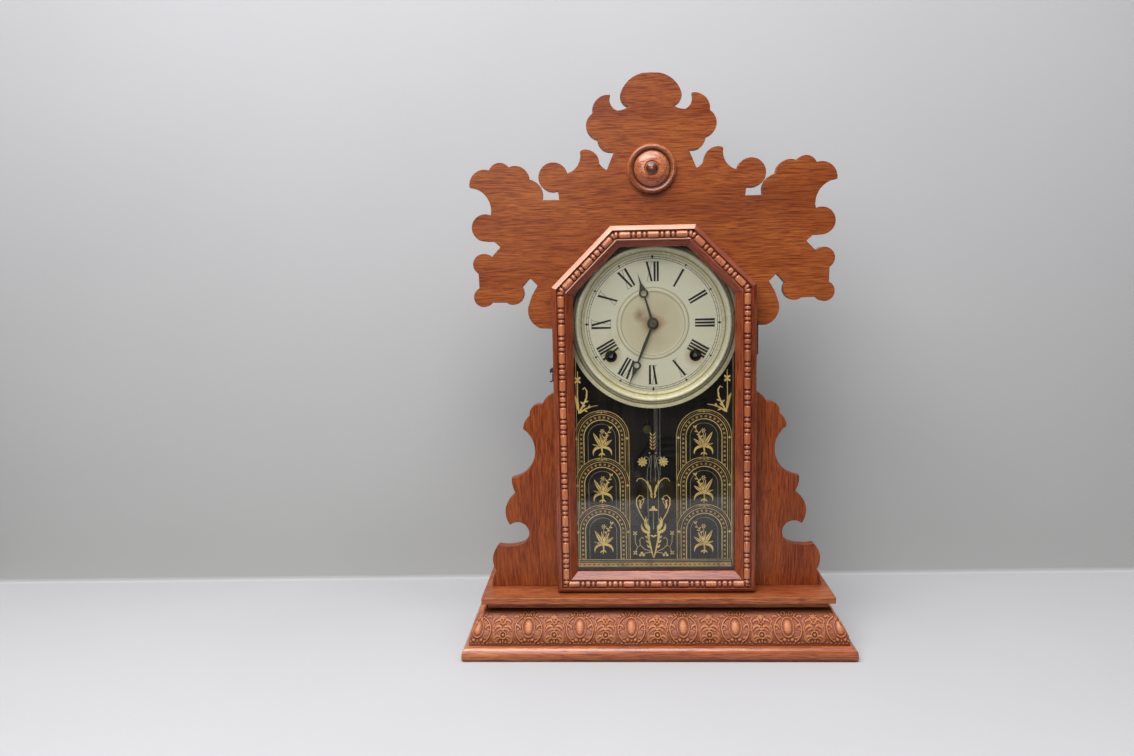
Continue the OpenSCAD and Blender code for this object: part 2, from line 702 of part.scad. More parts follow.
// An arbor between the plates, with a turned-down pivot at each end.
module arbor(at, r = arbor_r) {
    shaft(at, r, bay + 0.3, plate_2 - 0.3);
    shaft(at, pivot_r, plate_1 - 0.6, plate_2 + plate_t + 0.6);
}

module spin_arbor(at, n, m, y, pn, pm, py, from_n, from_at) {
    color(brass) on_dial() {
        arbor(at);
        wheel(at, n, m, y);
        pinion(at, pn, pm, py, mesh(from_n, pn, from_at, at));
    }
}

module time_second_wheel() {
    spin_arbor(time_second, second_n, second_m, second_y, second_pinion_n, great_m, second_pinion_y,
        great_n, winding_time);
}

module strike_second_wheel() {
    spin_arbor(strike_second, second_n, second_m, strike_second_y, second_pinion_n, great_m, second_pinion_y,
        great_n, winding_strike);
}

module strike_third_wheel() {
    spin_arbor(strike_third, fine_n, fine_m, third_y, centre_pinion_n, second_m, third_pinion_y,
        second_n, strike_second);
}

module strike_warning_wheel() {
    spin_arbor(strike_warning, warning_n, fine_m, warning_y, fine_pinion_n, fine_m, warning_pinion_y,
        fine_n, strike_third);
}

module time_fourth_wheel() {
    spin_arbor(time_fourth, fine_n, fine_m, fourth_y, fine_pinion_n, fine_m, fourth_pinion_y, fine_n,
        centre);
}

module strike_fly() {
    color(brass) on_dial() {
        arbor(strike_fly_at);
        pinion(strike_fly_at, fly_pinion_n, fine_m, fly_pinion_y, mesh(warning_n, fly_pinion_n,
            strike_warning, strike_fly_at));
        slab(bay + fly_y[0], bay + fly_y[1]) translate(strike_fly_at) square([24, 0.9], center = true);
    }
}

module centre_arbor() {
    color(brass) on_dial() {
        shaft(centre, arbor_r, minute_hand_y - 2.2, plate_2 - 0.3);
        shaft(centre, pivot_r, plate_2 - 1, plate_2 + plate_t + 0.6);
        wheel(centre, fine_n, fine_m, centre_y);
        pinion(centre, centre_pinion_n, second_m, centre_pinion_y, mesh(second_n, centre_pinion_n,
            time_second, centre));
        slab(motion_y + 2, plate_1 - 0.8) toothed(minute_pinion_n, minute_m, 0, 0.36, 0.7);
    }
}

module minute_wheel() {
    color(brass) on_dial() difference() {
        union() {
            slab(motion_y + 2.4, motion_y + 3.4) translate(minute_at)
                toothed(minute_wheel_n, minute_m, mesh(minute_pinion_n, minute_wheel_n, centre, minute_at),
                    0.42, 0.9);
            slab(motion_y - 0.6, motion_y + 2.4) translate(minute_at)
                toothed(hour_pinion_n, minute_m, 0, 0.36, 0.7);
        }
        shaft(minute_at, pivot_r + pivot_play, motion_y - 5, plate_1);
    }
}

module hour_wheel() {
    color(brass) on_dial() difference() {
        union() {
            slab(motion_y, motion_y + 1.2) toothed(hour_wheel_n, minute_m,
                mesh(hour_pinion_n, hour_wheel_n, minute_at, centre), 0.42, 0.9);
            shaft(centre, hour_pipe_r, hour_hand_y, motion_y + 1);
        }
        shaft(centre, arbor_r + 0.1, hour_hand_y - 1, motion_y + 3);
    }
}

escape_n = 42;
escape_r = 15.5;

module escape_wheel() {
    tooth = 360 / escape_n;
    color(brass) on_dial() {
        arbor(escape);
        pinion(escape, fine_pinion_n, fine_m, escape_pinion_y,
            mesh(fine_n, fine_pinion_n, time_fourth, escape));
        slab(bay + escape_y[0], bay + escape_y[1]) translate(escape) polygon([for (i = [0 : escape_n - 1])
            each [for (p = [[13.4, 0], [escape_r, 0.35], [escape_r, 0.45], [13.4, 0.75]])
                p[0] * [cos(tooth * (i + p[1])), sin(tooth * (i + p[1]))]]]);
    }
}

crutch_l = 32;

module verge_and_crutch() {
    pallet = escape_r + 1.1;            // inner radius of the pallets: they stand clear of the teeth
    sector = function(r, a0, a1) [for (i = [0 : 6]) let(a = a0 + (a1 - a0) * i / 6) r * [cos(a), sin(a)]];
    fork_z = verge[1] - crutch_l;
    rod_y = pendulum_y;
    wire_y = plate_1 - 6.2;
    color(steel) on_dial() {
        shaft(verge, arbor_r, plate_1 - 7, plate_2 - 0.3);
        shaft(verge, pivot_r, plate_2 - 1, plate_2 + plate_t + 0.6);
        slab(bay + escape_y[0] - 0.5, bay + escape_y[1] + 0.5) {
            translate(verge) circle(r = 3.4);
            translate(escape) {
                polygon(concat(sector(20.4, 48, 132), sector(pallet, 132, 128), sector(18.4, 128, 52),
                    sector(pallet, 52, 48)));
            }
        }
        wire([verge[0], wire_y, verge[1]], [verge[0], wire_y, fork_z], 0.65);
        translate([verge[0] - 2.8, wire_y - 0.9, fork_z - 0.9]) cube([5.6, 1.8, 1.8]);
        for (side = [-1, 1]) translate([verge[0] + side * 2.1 - 0.5, rod_y - 2.5, fork_z - 0.5])
            cube([1, wire_y - rod_y + 2.5, 1]);
    }
}

// ---- movement: the winding end of each train

click_at = 17;                          // distance of a click's stud from the winding arbor
click_angle = 62;
ratchet_r = 12;
ratchet_n = 24;
drum_r = winding_arbor_r + 2.6;         // the part of the arbor that the spring winds on

// The right-hand (time) side is drawn, and the strike side is its mirror image.
module great_wheel() {
    on_dial() {
        wheel(winding_time, great_n, great_m, great_y, 0, winding_arbor_r + pivot_play);
        shaft(toward(winding_time, click_angle, click_at), 1.2, bay + great_y[1] - 1,
            bay + ratchet_y[1] + 0.6);
    }
}

module winding_arbor() {
    on_dial() {
        shaft(winding_time, winding_arbor_r, plate_1 - 0.6, plate_2 - 0.3);
        shaft(winding_time, pivot_r, plate_2 - 1, plate_2 + plate_t + 0.6);
        slab(pan_front + 2, plate_1) translate(winding_time) square(winding_arbor_r * 1.36, center = true);
        shaft(winding_time, drum_r, bay + spring_y0 + 0.4, bay + spring_y0 + spring_w - 0.4);
        slab(bay + ratchet_y[0], bay + ratchet_y[1]) translate(winding_time)
            polygon([for (i = [0 : ratchet_n - 1]) each let(s = 360 / ratchet_n)
                [(ratchet_r - 1.7) * [cos(s * i), sin(s * i)],
                 ratchet_r * [cos(s * (i + 0.9)), sin(s * (i + 0.9))]]]);
    }
}

module click() {
    at = toward(winding_time, click_angle, click_at);
    tip = ratchet_r + 0.5;
    on_dial() slab(bay + ratchet_y[0], bay + ratchet_y[1]) difference() {
        union() {
            translate(at) circle(r = 2.8);
            polygon([toward(at, click_angle, 2.6), toward(winding_time, click_angle + 22, tip + 3.4),
                toward(winding_time, click_angle + 31, tip), toward(at, click_angle + 180, 2)]);
        }
        translate(at) circle(r = 1.2 + 0.08);
    }
}

module time_great_wheel() { color(brass) great_wheel(); }
module strike_great_wheel() { color(brass) mirror([1, 0, 0]) great_wheel(); }
module time_winding_arbor() { color(steel) winding_arbor(); }
module strike_winding_arbor() { color(steel) mirror([1, 0, 0]) winding_arbor(); }
module time_click() { color(steel) click(); }
module strike_click() { color(steel) mirror([1, 0, 0]) click(); }

// Mainspring: a flat spiral whose outer end runs straight to a loop round the lowest pillar.
module mainspring() {
    pillar = pillars[0];
    d = pillar - winding_time;
    l = norm(d);
    end_a = atan2(d[1], d[0]) - acos(spring_r / l);
    inner = drum_r + spring_t + pivot_play;
    steps = 24 * spring_turns;
    edge = function(off) [for (i = [0 : steps]) let(a = end_a - 15 * (steps - i),
        r = inner + (spring_r - inner) * i / steps + off) winding_time + r * [cos(a), sin(a)]];
    out = edge(0);
    back_edge = edge(-spring_t);
    tail = [cos(end_a + 90), sin(end_a + 90)] * (sqrt(l * l - spring_r * spring_r) - pillar_r);
    on_dial() slab(bay + spring_y0, bay + spring_y0 + spring_w) difference() {
        union() {
            polygon(concat(out, [out[steps] + tail, back_edge[steps] + tail],
                [for (i = [steps : -1 : 0]) back_edge[i]]));
            translate(pillar) circle(r = pillar_r + 1);
        }
        translate(pillar) circle(r = pillar_r + 0.1);
    }
}

module mainsprings() {
    color(steel) {
        mainspring();
        mirror([1, 0, 0]) mainspring();
    }
}

// ---- movement: plates, pillars, hammer

pillar_r = 2.6;
pillars = [[50, -70], [-50, -70], [62, 8], [-62, 8], [41, 55], [-41, 55], [14, -66]];
feet = [[54, dial_z - 52], [-54, dial_z - 52], [44, dial_z + 50], [-44, dial_z + 50]];
foot_peg_r = 2;
foot_peg_l = 4;
plate_edge = [[-57, -77], [57, -77], [68, -2], [68, 18], [58, 44], [30, 72], [12, 74], [-30, 72], [-58, 44],
    [-68, 18], [-68, -2]];
pivots = [time_second, strike_second, time_fourth, escape, strike_third, strike_warning, strike_fly_at,
    hammer_at];
post_at = verge + [0, 6.6];

module plate(y, holes, wide, wider) {
    slab(y, y + plate_t) difference() {
        polygon(plate_edge);
        for (at = concat(pivots, holes)) translate(at) circle(r = pivot_r + pivot_play);
        for (at = wide) translate(at) circle(r = arbor_r + pivot_play);
        for (at = wider) translate(at) circle(r = winding_arbor_r + pivot_play);
        for (at = pillars) translate(at) circle(r = 1.6);
    }
}

// The post on the front plate holds the pendulum's suspension spring, and a stud carries the minute wheel.
module front_plate() {
    color(brass) on_dial() {
        plate(plate_1, [], [centre, verge], [winding_time, winding_strike]);
        shaft(post_at, 3, pendulum_y - 2.6, plate_1 + 0.4);
        shaft(minute_at, pivot_r, motion_y - 1, plate_1 + 0.4);
        translate([verge[0] - 0.15, pendulum_y - 1.5, verge[1] + 0.2]) cube([0.3, 3, 5]);
    }
}

module back_plate() {
    color(brass) on_dial() plate(plate_2, [centre, verge, winding_time, winding_strike], [], []);
}

module plate_pillars() {
    color(brass) on_dial() for (at = pillars) {
        shaft(at, pillar_r, bay, plate_2);
        shaft(at, 1.6, plate_1, plate_2 + plate_t);
    }
}

module movement_feet() {
    color(brass) for (at = feet) {
        shaft(at, 3.2, plate_2 + plate_t, case_back);
        shaft(at, 5.5, case_back - 2, case_back);
        shaft(at, foot_peg_r, case_back - 1, case_back + foot_peg_l);
    }
}

hammer_y = bay + 30.4;
hammer_l = 51.3;
hammer_head = hammer_at - [0, hammer_l];
gong_y = case_back - 7.5;

module strike_hammer() {
    x = hammer_at[0];
    bends = [[x, hammer_y, hammer_at[1]], [x, hammer_y, plate_edge[0][1] - 6],
        [x, gong_y, hammer_head[1] + 16], [x, gong_y, hammer_head[1]]];
    color(brass) on_dial() {
        arbor(hammer_at);
        shaft(hammer_at, 3, hammer_y - 2, hammer_y + 2);
        for (i = [0 : 2]) wire(bends[i], bends[i + 1], 0.8);
        for (i = [1, 2]) translate(bends[i]) sphere(r = 0.8, $fn = 24);
        shaft(hammer_head, hammer_r, gong_y - 4.5, gong_y + 4.5);
    }
}

// ---- pendulum

pendulum_y = plate_1 - 11;
bob_at = verge - [0, pendulum_l];

module pendulum_rod() {
    top = verge[1] - 3;
    color(steel) on_dial() {
        translate([verge[0] - 0.15, pendulum_y - 1.5, top - 1]) cube([0.3, 3, 3.8]);
        translate([verge[0] - 1.1, pendulum_y - 1.8, top - 3.6]) cube([2.2, 3.6, 3.4]);
        wire([verge[0], pendulum_y, bob_at[1] - bob_r - 10], [verge[0], pendulum_y, top - 3], rod_r);
        translate([verge[0], pendulum_y, bob_at[1] - bob_r - 4.4]) cylinder(r = 4, h = 3, $fn = 12);
    }
}

module pendulum_bob() {
    lens = [for (i = [1 : 7]) [bob_r * pow(cos(90 - 11 * i), 0.6), bob_t / 2 * sin(90 - 11 * i)]];
    rim = 0.8;
    color(brass) on_dial() difference() {
        turned(bob_at, pendulum_y) polygon(concat([[0, -bob_t / 2], [0, bob_t / 2]], lens,
            [[bob_r, rim], [bob_r, -rim]], [for (i = [6 : -1 : 0]) [lens[i][0], -lens[i][1]]]));
        translate([verge[0], pendulum_y, bob_at[1] - bob_r - 1]) rotate([0, 0, 20])
            cylinder(r = rod_r + 0.3, h = 2 * bob_r + 2);
    }
}

// ---- gong

hammer_gap = 1.6;
strike_from = 118;                      // direction of the hammer from the gong's middle
gong_pitch = 7;
gong_at = toward(hammer_head, strike_from + 180, gong_r + gong_wire_r + hammer_r + hammer_gap);
gong_steps = 24;
gong_path = concat([gong_at, gong_at + [4, -4]],
    [for (i = [0 : gong_turns * gong_steps]) let(a = strike_from - 40 + 360 * (i / gong_steps - gong_turns),
        r = gong_r - gong_pitch * (gong_turns - i / gong_steps)) toward(gong_at, a, r)]);
gong_gap = min([for (i = [0 : len(gong_path) - 14]) for (j = [i + 13 : len(gong_path) - 1])
    norm(gong_path[i] - gong_path[j]) - 2 * gong_wire_r]);
echo("gong coil: least gap to itself, mm", gong_gap);

// A six-sided tube round a path in the XZ plane.
module flat_tube(path, r, y) {
    last = len(path) - 1;
    ring = function(i) let(t = path[min(i + 1, last)] - path[max(i - 1, 0)], n = [-t[1], t[0]] / norm(t))
        [for (k = [0 : 5]) let(c = r * cos(60 * k))
            [path[i][0] + c * n[0], y + r * sin(60 * k), path[i][1] + c * n[1]]];
    polyhedron([for (i = [0 : last]) each ring(i)],
        concat([[for (k = [0 : 5]) k]], [[for (k = [5 : -1 : 0]) 6 * last + k]],
            [for (i = [0 : last - 1]) for (k = [0 : 5]) each let(a = 6 * i + k, b = 6 * i + (k + 1) % 6)
                [[a, a + 6, b], [b, a + 6, b + 6]]]));
}

module gong_coil() { color(steel) on_dial() flat_tube(gong_path, gong_wire_r, gong_y); }

module gong_base() {
    color(iron) on_dial() {
        shaft(gong_at, 5, gong_y - 3, case_back - 1);
        shaft(gong_at, 14, case_back - 3, case_back);
    }
}

plinth_board();
base_front_moulding();
base_side_mouldings();
base_back_rail();
base_top_board();
case_side_left();
case_side_right();
case_roof_boards();
case_back_board();
crest_board();
wing_left();
wing_right();
crest_medallion();
door_bottom_rail();
door_stile_left();
door_stile_right();
door_upper_rails();
door_bead_mouldings();
door_glass();
glass_retaining_strips();
door_hinge_leaves();
case_hinge_leaves();
latch_hook();
latch_screw();
latch_stud();
dial_pan();
dial_face();
dial_blocks();
dial_screws();
winding_grommets();
hour_hand();
minute_hand();
hand_nut();
hour_wheel();
minute_wheel();
centre_arbor();
time_fourth_wheel();
escape_wheel();
verge_and_crutch();
time_second_wheel();
time_great_wheel();
time_winding_arbor();
time_click();
mainsprings();
strike_great_wheel();
strike_winding_arbor();
strike_click();
strike_second_wheel();
strike_third_wheel();
strike_warning_wheel();
strike_fly();
strike_hammer();
front_plate();
back_plate();
plate_pillars();
movement_feet();
pendulum_rod();
pendulum_bob();
gong_coil();
gong_base();
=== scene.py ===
from math import acos, atan2, cos, degrees, hypot, log, pi, radians as rad, sin, sqrt, tan
import bpy
import numpy as np
from mathutils import Matrix, Vector


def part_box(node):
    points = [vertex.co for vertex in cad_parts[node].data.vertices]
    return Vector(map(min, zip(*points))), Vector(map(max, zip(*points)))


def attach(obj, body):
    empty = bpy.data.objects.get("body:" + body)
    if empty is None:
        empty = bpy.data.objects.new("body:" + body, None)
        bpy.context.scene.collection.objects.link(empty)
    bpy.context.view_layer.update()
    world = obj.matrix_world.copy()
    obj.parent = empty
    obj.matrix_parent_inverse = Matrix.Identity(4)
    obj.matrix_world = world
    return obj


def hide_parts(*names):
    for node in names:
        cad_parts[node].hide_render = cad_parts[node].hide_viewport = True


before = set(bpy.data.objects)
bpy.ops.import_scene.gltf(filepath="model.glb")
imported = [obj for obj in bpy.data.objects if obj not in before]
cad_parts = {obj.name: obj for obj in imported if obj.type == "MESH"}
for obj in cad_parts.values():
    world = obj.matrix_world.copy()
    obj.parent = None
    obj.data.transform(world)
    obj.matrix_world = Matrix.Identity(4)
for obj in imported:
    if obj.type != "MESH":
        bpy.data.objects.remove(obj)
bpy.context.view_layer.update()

# Lengths below are in millimetres unless a comment says otherwise; pieces are made in metres.
MM = 0.001

# ---- sizes that repeat the frame's
def span(node):
    """Lowest and highest corner of a CAD node, in millimetres."""
    low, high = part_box(node)
    return np.array(low) / MM, np.array(high) / MM


plinth_low, plinth_high = span("plinth_board")
moulding_low, moulding_high = span("base_front_moulding")
medallion_low, medallion_high = span("crest_medallion")
pan_low, pan_high = span("dial_pan")
door_low, door_high = span("door_bottom_rail")

FRONT, BACK = plinth_low[1], plinth_high[1]
HALF_W = plinth_high[0]
MOULDING_Z0, MOULDING_Z1 = moulding_low[2], moulding_high[2]
BOARD_UNDERSIDE = 53.7  # top of the fillet that is one with the base's top board
MEDALLION_R = (medallion_high[0] - medallion_low[0]) / 2
MEDALLION_Z = (medallion_low[2] + medallion_high[2]) / 2
DIAL_Z = (pan_low[2] + pan_high[2]) / 2
WINDING_X, WINDING_DROP = 41, 31.5
FACE_Y = span("dial_face")[1][1] - 0.3  # front of the flat paper
GLASS_BACK = span("door_glass")[1][1]
DOOR_HALF_W, DOOR_FOOT, DOOR_FRONT = door_high[0], door_low[2], door_low[1]
DOOR_Z = span("door_upper_rails")[1][2] - DOOR_HALF_W  # centre of the door's octagon
OCTAGON = tan(rad(22.5))  # an octagon's half side over its apothem

# ---- mesh helpers
def add_mesh(name, verts, faces, smooth=False, relief=None):
    """A mesh object from millimetre coordinates; relief is how high each point stands, or how much light it catches,
    for the painted shade and highlight of its material.
    """
    mesh = bpy.data.meshes.new(name)
    mesh.from_pydata([tuple(v) for v in np.asarray(verts, float) * MM], [], [tuple(f) for f in faces])
    mesh.validate()
    mesh.update()
    if smooth:
        mesh.polygons.foreach_set("use_smooth", [True] * len(mesh.polygons))
    if relief is not None:
        mesh.attributes.new("relief", "FLOAT", "POINT").data.foreach_set("value", np.asarray(relief, np.float32))
    piece = bpy.data.objects.new(name, mesh)
    bpy.context.scene.collection.objects.link(piece)
    return piece


def finish_piece(piece, material, body, replaces=()):
    piece.data.materials.append(material)
    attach(piece, body)
    if replaces:
        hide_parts(*replaces)


def grid_faces(rows, cols, start=0, wrap=False):
    """Quads of a grid of points stored row by row. With wrap, the last column joins the first."""
    faces = []
    for i in range(rows - 1):
        for j in range(cols if wrap else cols - 1):
            a, b = start + i * cols + j, start + i * cols + (j + 1) % cols
            faces.append((a, b, b + cols, a + cols))
    return faces


def circle(x, z, radius, steps, turn=0):
    """Points round a circle, from turn degrees on."""
    angles = [2 * pi * k / steps + rad(turn) for k in range(steps)]
    return [(x + radius * cos(a), z + radius * sin(a)) for a in angles]


def tangents(points):
    """Direction of a line at each of its points."""
    ends = np.concatenate([points[:1], points, points[-1:]])
    along = ends[2:] - ends[:-2]
    return along / (np.linalg.norm(along, axis=1)[:, None] + 1e-9)


def tube(path, radius, sides):
    """A round tube along a list of points, with its ends closed."""
    path = np.asarray(path, float)
    verts = []
    for point, t in zip(path, tangents(path)):
        side = np.cross(t, (0, 1, 0))
        side /= np.linalg.norm(side)
        up = np.cross(side, t)
        verts += [point + a * side + b * up for a, b in circle(0, 0, radius, sides)]
    faces = grid_faces(len(path), sides, wrap=True)
    faces += [tuple(range(sides - 1, -1, -1)), tuple(range(len(verts) - sides, len(verts)))]
    return verts, faces


class Flat:
    """Thin flat shapes drawn in X and Z, gathered into one mesh."""

    def __init__(self):
        self.verts, self.faces, self.shapes = [], [], 0

    def keep(self, points):
        """Adds a shape's points, a little deeper than the last shape's, so that shapes may overlap."""
        depth = 0.004 * (self.shapes % 7)
        self.verts += [(x, z, depth) for x, z in points]
        self.shapes += 1

    def polygon(self, points):
        self.faces.append(tuple(range(len(self.verts), len(self.verts) + len(points))))
        self.keep(points)

    def strip(self, left, right):
        start, n = len(self.verts), len(left)
        self.keep([*left, *right])
        self.faces += [(i, i + 1, n + i + 1, n + i) for i in range(start, start + n - 1)]

    def stroke(self, points, width):
        """A line of that width; width may be a function of the share of the way, 0 to 1."""
        points = np.asarray(points, float)
        shares = np.arange(len(points)) / (len(points) - 1)
        half = np.array([width(s) for s in shares] if callable(width) else [width] * len(points)) / 2
        self.ribbon(points, half)

    def ribbon(self, points, half):
        side = tangents(points)[:, ::-1] * (-1, 1) * half[:, None]
        self.strip(points + side, points - side)

    def arc(self, z, radius, width, steps):
        inner, outer = ([(r * cos(a), z + r * sin(a)) for a in np.linspace(0, 2 * pi, steps)]
                        for r in (radius - width / 2, radius + width / 2))
        self.strip(inner, outer)

    def disc(self, x, z, radius, steps=8):
        self.polygon(circle(x, z, radius, steps))

    def leaf(self, x, z, angle, length, width, bend=0, belly=0.45):
        """A pointed leaf from its foot, leaning to one side by bend, widest at the share belly."""
        shares = np.arange(9) / 8
        turns = rad(angle) + rad(60 * bend) * shares ** 2
        points = np.stack([x + length * shares * np.cos(turns), z + length * shares * np.sin(turns)], 1)
        swell = np.sin(pi * shares ** (log(0.5) / log(belly)))
        self.ribbon(points, width / 2 * (np.clip(swell, 0, 1) ** 0.8 + 0.02))

    def fan(self, x, z, length, width, count=4, turn=45, belly=0.6, out=0):
        """Leaves all round a point."""
        for k, (a, b) in enumerate(circle(x, z, out, count, turn)):
            self.leaf(a, b, turn + 360 * k / count, length, width, 0, belly)

    def mirrored(self):
        """Adds the mirror image, about X 0, of everything drawn so far."""
        start, count = len(self.verts), len(self.faces)
        self.verts += [(-x, z, depth) for x, z, depth in self.verts]
        self.faces += [tuple(start + i for i in reversed(f)) for f in self.faces[:count]]

    def piece(self, name, y, x=0):
        return add_mesh(name, [(x + v[0], y + v[2], v[1]) for v in self.verts], self.faces)


# ---- material helpers
def srgb(r, g, b):
    """A linear colour from 0 to 255 values as a screen shows them."""
    shares = (c / 255 for c in (r, g, b))
    return (*(s / 12.92 if s <= 0.04045 else ((s + 0.055) / 1.055) ** 2.4 for s in shares), 1)


def darker(colour):
    return (*(c * 0.4 for c in colour[:3]), 1)


class Graph:
    """A short way to wire the nodes of a material or a world. x, y and z are the piece's own coordinates."""

    def __init__(self, name, kind="Material"):
        self.made = (bpy.data.worlds if kind == "World" else bpy.data.materials).new(name)
        self.made.use_nodes = True
        self.tree = self.made.node_tree
        self.tree.nodes.clear()
        self.output = self.node("OutputWorld" if kind == "World" else "OutputMaterial")
        self.coords = self.node("TexCoord").outputs["Object"]
        self.x, self.y, self.z = self.node("SeparateXYZ", Vector=self.coords).outputs

    def put(self, socket, value):
        if isinstance(value, bpy.types.NodeSocket):
            self.tree.links.new(value, socket)
        elif value is not None:
            socket.default_value = value

    def node(self, kind, settings=None, **inputs):
        """A new shader node; inputs are named with _ for a space, or _ and a number."""
        made = self.tree.nodes.new("ShaderNode" + kind)
        for key, value in (settings or {}).items():
            setattr(made, key, value)
        for key, value in inputs.items():
            self.put(made.inputs[int(key[1:]) if key[0] == "_" else key.replace("_", " ")], value)
        return made

    def noise(self, scale, detail, rough, distortion=0, shift=(0, 0, 0)):
        """Noise over the piece; scale is one number, or one for each axis."""
        scale = scale if isinstance(scale, tuple) else (scale,) * 3
        place = self.node("Mapping", Vector=self.coords, Scale=scale, Location=shift).outputs[0]
        return self.node("TexNoise", Vector=place, Scale=1, Detail=detail, Roughness=rough,
                         Distortion=distortion).outputs["Fac"]

    def ramp(self, share, stops):
        made = self.node("ValToRGB", Fac=share)
        elements = made.color_ramp.elements
        while len(elements) < len(stops):
            elements.new(0.5)
        for element, (position, colour) in zip(elements, stops):
            element.position = position
            element.color = colour if len(colour) == 4 else (*colour, 1)
        return made.outputs["Color"]

    def step(self, value, low, high, start=0, end=1):
        return self.node("MapRange", {"clamp": True}, Value=value, From_Min=low, From_Max=high, To_Min=start,
                         To_Max=end).outputs[0]

    def mix(self, share, a, b, mode="MIX"):
        return self.node("Mix", {"data_type": "RGBA", "blend_type": mode}, _0=share, _6=a, _7=b).outputs[2]

    def tinted(self, colour, share, factor):
        """The colour, multiplied by factor to that share."""
        factor = (*factor, 1) if isinstance(factor, tuple) else factor
        return self.mix(share, colour, self.mix(1, colour, factor, "MULTIPLY"))

    def stained(self, colour, *marks):
        """The colour under marks: a noise, from where to where in it the mark grows to a share, and its factor."""
        for noise, low, high, share, factor in marks:
            colour = self.tinted(colour, self.step(noise, low, high, 0, share), factor)
        return colour

    def maths(self, operation, a, b=0):
        return self.node("Math", {"operation": operation}, _0=a, _1=b).outputs[0]

    def times(self, first, *others):
        for other in others:
            first = self.maths("MULTIPLY", first, other)
        return first

    def plus(self, a, b):
        return self.maths("ADD", a, b)

    def wander(self, noise, amount):
        return self.times(self.maths("SUBTRACT", noise, 0.5), amount)

    def distance(self, x, z):
        """Distance from the line through X x and Z z along Y, in metres."""
        dx, dz = self.maths("SUBTRACT", self.x, x * MM), self.maths("SUBTRACT", self.z, z * MM)
        return self.maths("POWER", self.plus(self.times(dx, dx), self.times(dz, dz)), 0.5)

    def bump(self, height, strength, distance, normal=None):
        return self.node("Bump", Height=height, Strength=strength, Distance=distance, Normal=normal).outputs[0]

    def blend(self, share, first, second):
        return self.node("MixShader", Fac=share, _1=first.outputs[0], _2=second.outputs[0])

    def show(self, shader):
        self.put(self.output.inputs["Surface"], shader.outputs[0])
        return self.made

    def surface(self, **inputs):
        return self.show(self.node("BsdfPrincipled", **inputs))


def along(axis, lengthwise, across):
    """Scales of a noise that runs along an axis; axis None makes it even."""
    return tuple(lengthwise if name == axis else across for name in "xyz")


# ---- woods and metals
def along_each_board(g):
    """Coordinates turned 45 degrees beyond the octagon's mitres, so that X runs along every board."""
    out = g.maths("ABSOLUTE", g.x)
    lengthwise = g.times(g.maths("SUBTRACT", out, g.z), sqrt(0.5))
    across = g.times(g.plus(out, g.z), sqrt(0.5))
    apart = g.plus(g.y, g.maths("SIGN", g.x))
    turned = g.node("CombineXYZ", X=lengthwise, Y=apart, Z=across).outputs[0]
    rise = g.times(g.maths("SUBTRACT", g.z, DOOR_Z * MM), OCTAGON)
    return g.node("Mix", {"data_type": "VECTOR"}, _0=g.maths("GREATER_THAN", out, rise), _4=g.coords,
                  _5=turned).outputs[1]


# direction that the painted highlight faces: up and to the left, towards the lamps
HIGHLIGHT_FACING = (-0.3, -0.75, 0.6)  # outer bevels of the upper and the upper left rail
# shares of the medallion's radius and their factors: tip, cup, its lip, dome, groove, flat ring, rim; painted shade in
# the cup and the groove, painted highlight on the tip, the lip and the rim
TURNED_SHADE_AND_TONE = [(0, (1.8, 1.8, 1.9)), (0.05, (0.36, 0.3, 0.32)), (0.22, (0.14, 0.1, 0.12)), (0.28, (1.3, 1.3, 1.3)),
               (0.36, (1.05, 1.05, 1.1)), (0.7, (0.9, 0.85, 0.9)), (0.74, (0.12, 0.08, 0.08)), (0.79, (0.6, 0.56, 0.5)),
               (0.93, (0.64, 0.6, 0.54)), (0.97, (1.1, 1.1, 1.05))]
# colour of the painted shade
PAINTED_SHADE_COLOUR = (0.012, 0.006, 0.004, 1)
WAVER, WAVER_SCALE = 0.008, 11.0  # how far the grain wanders, in metres, and how often


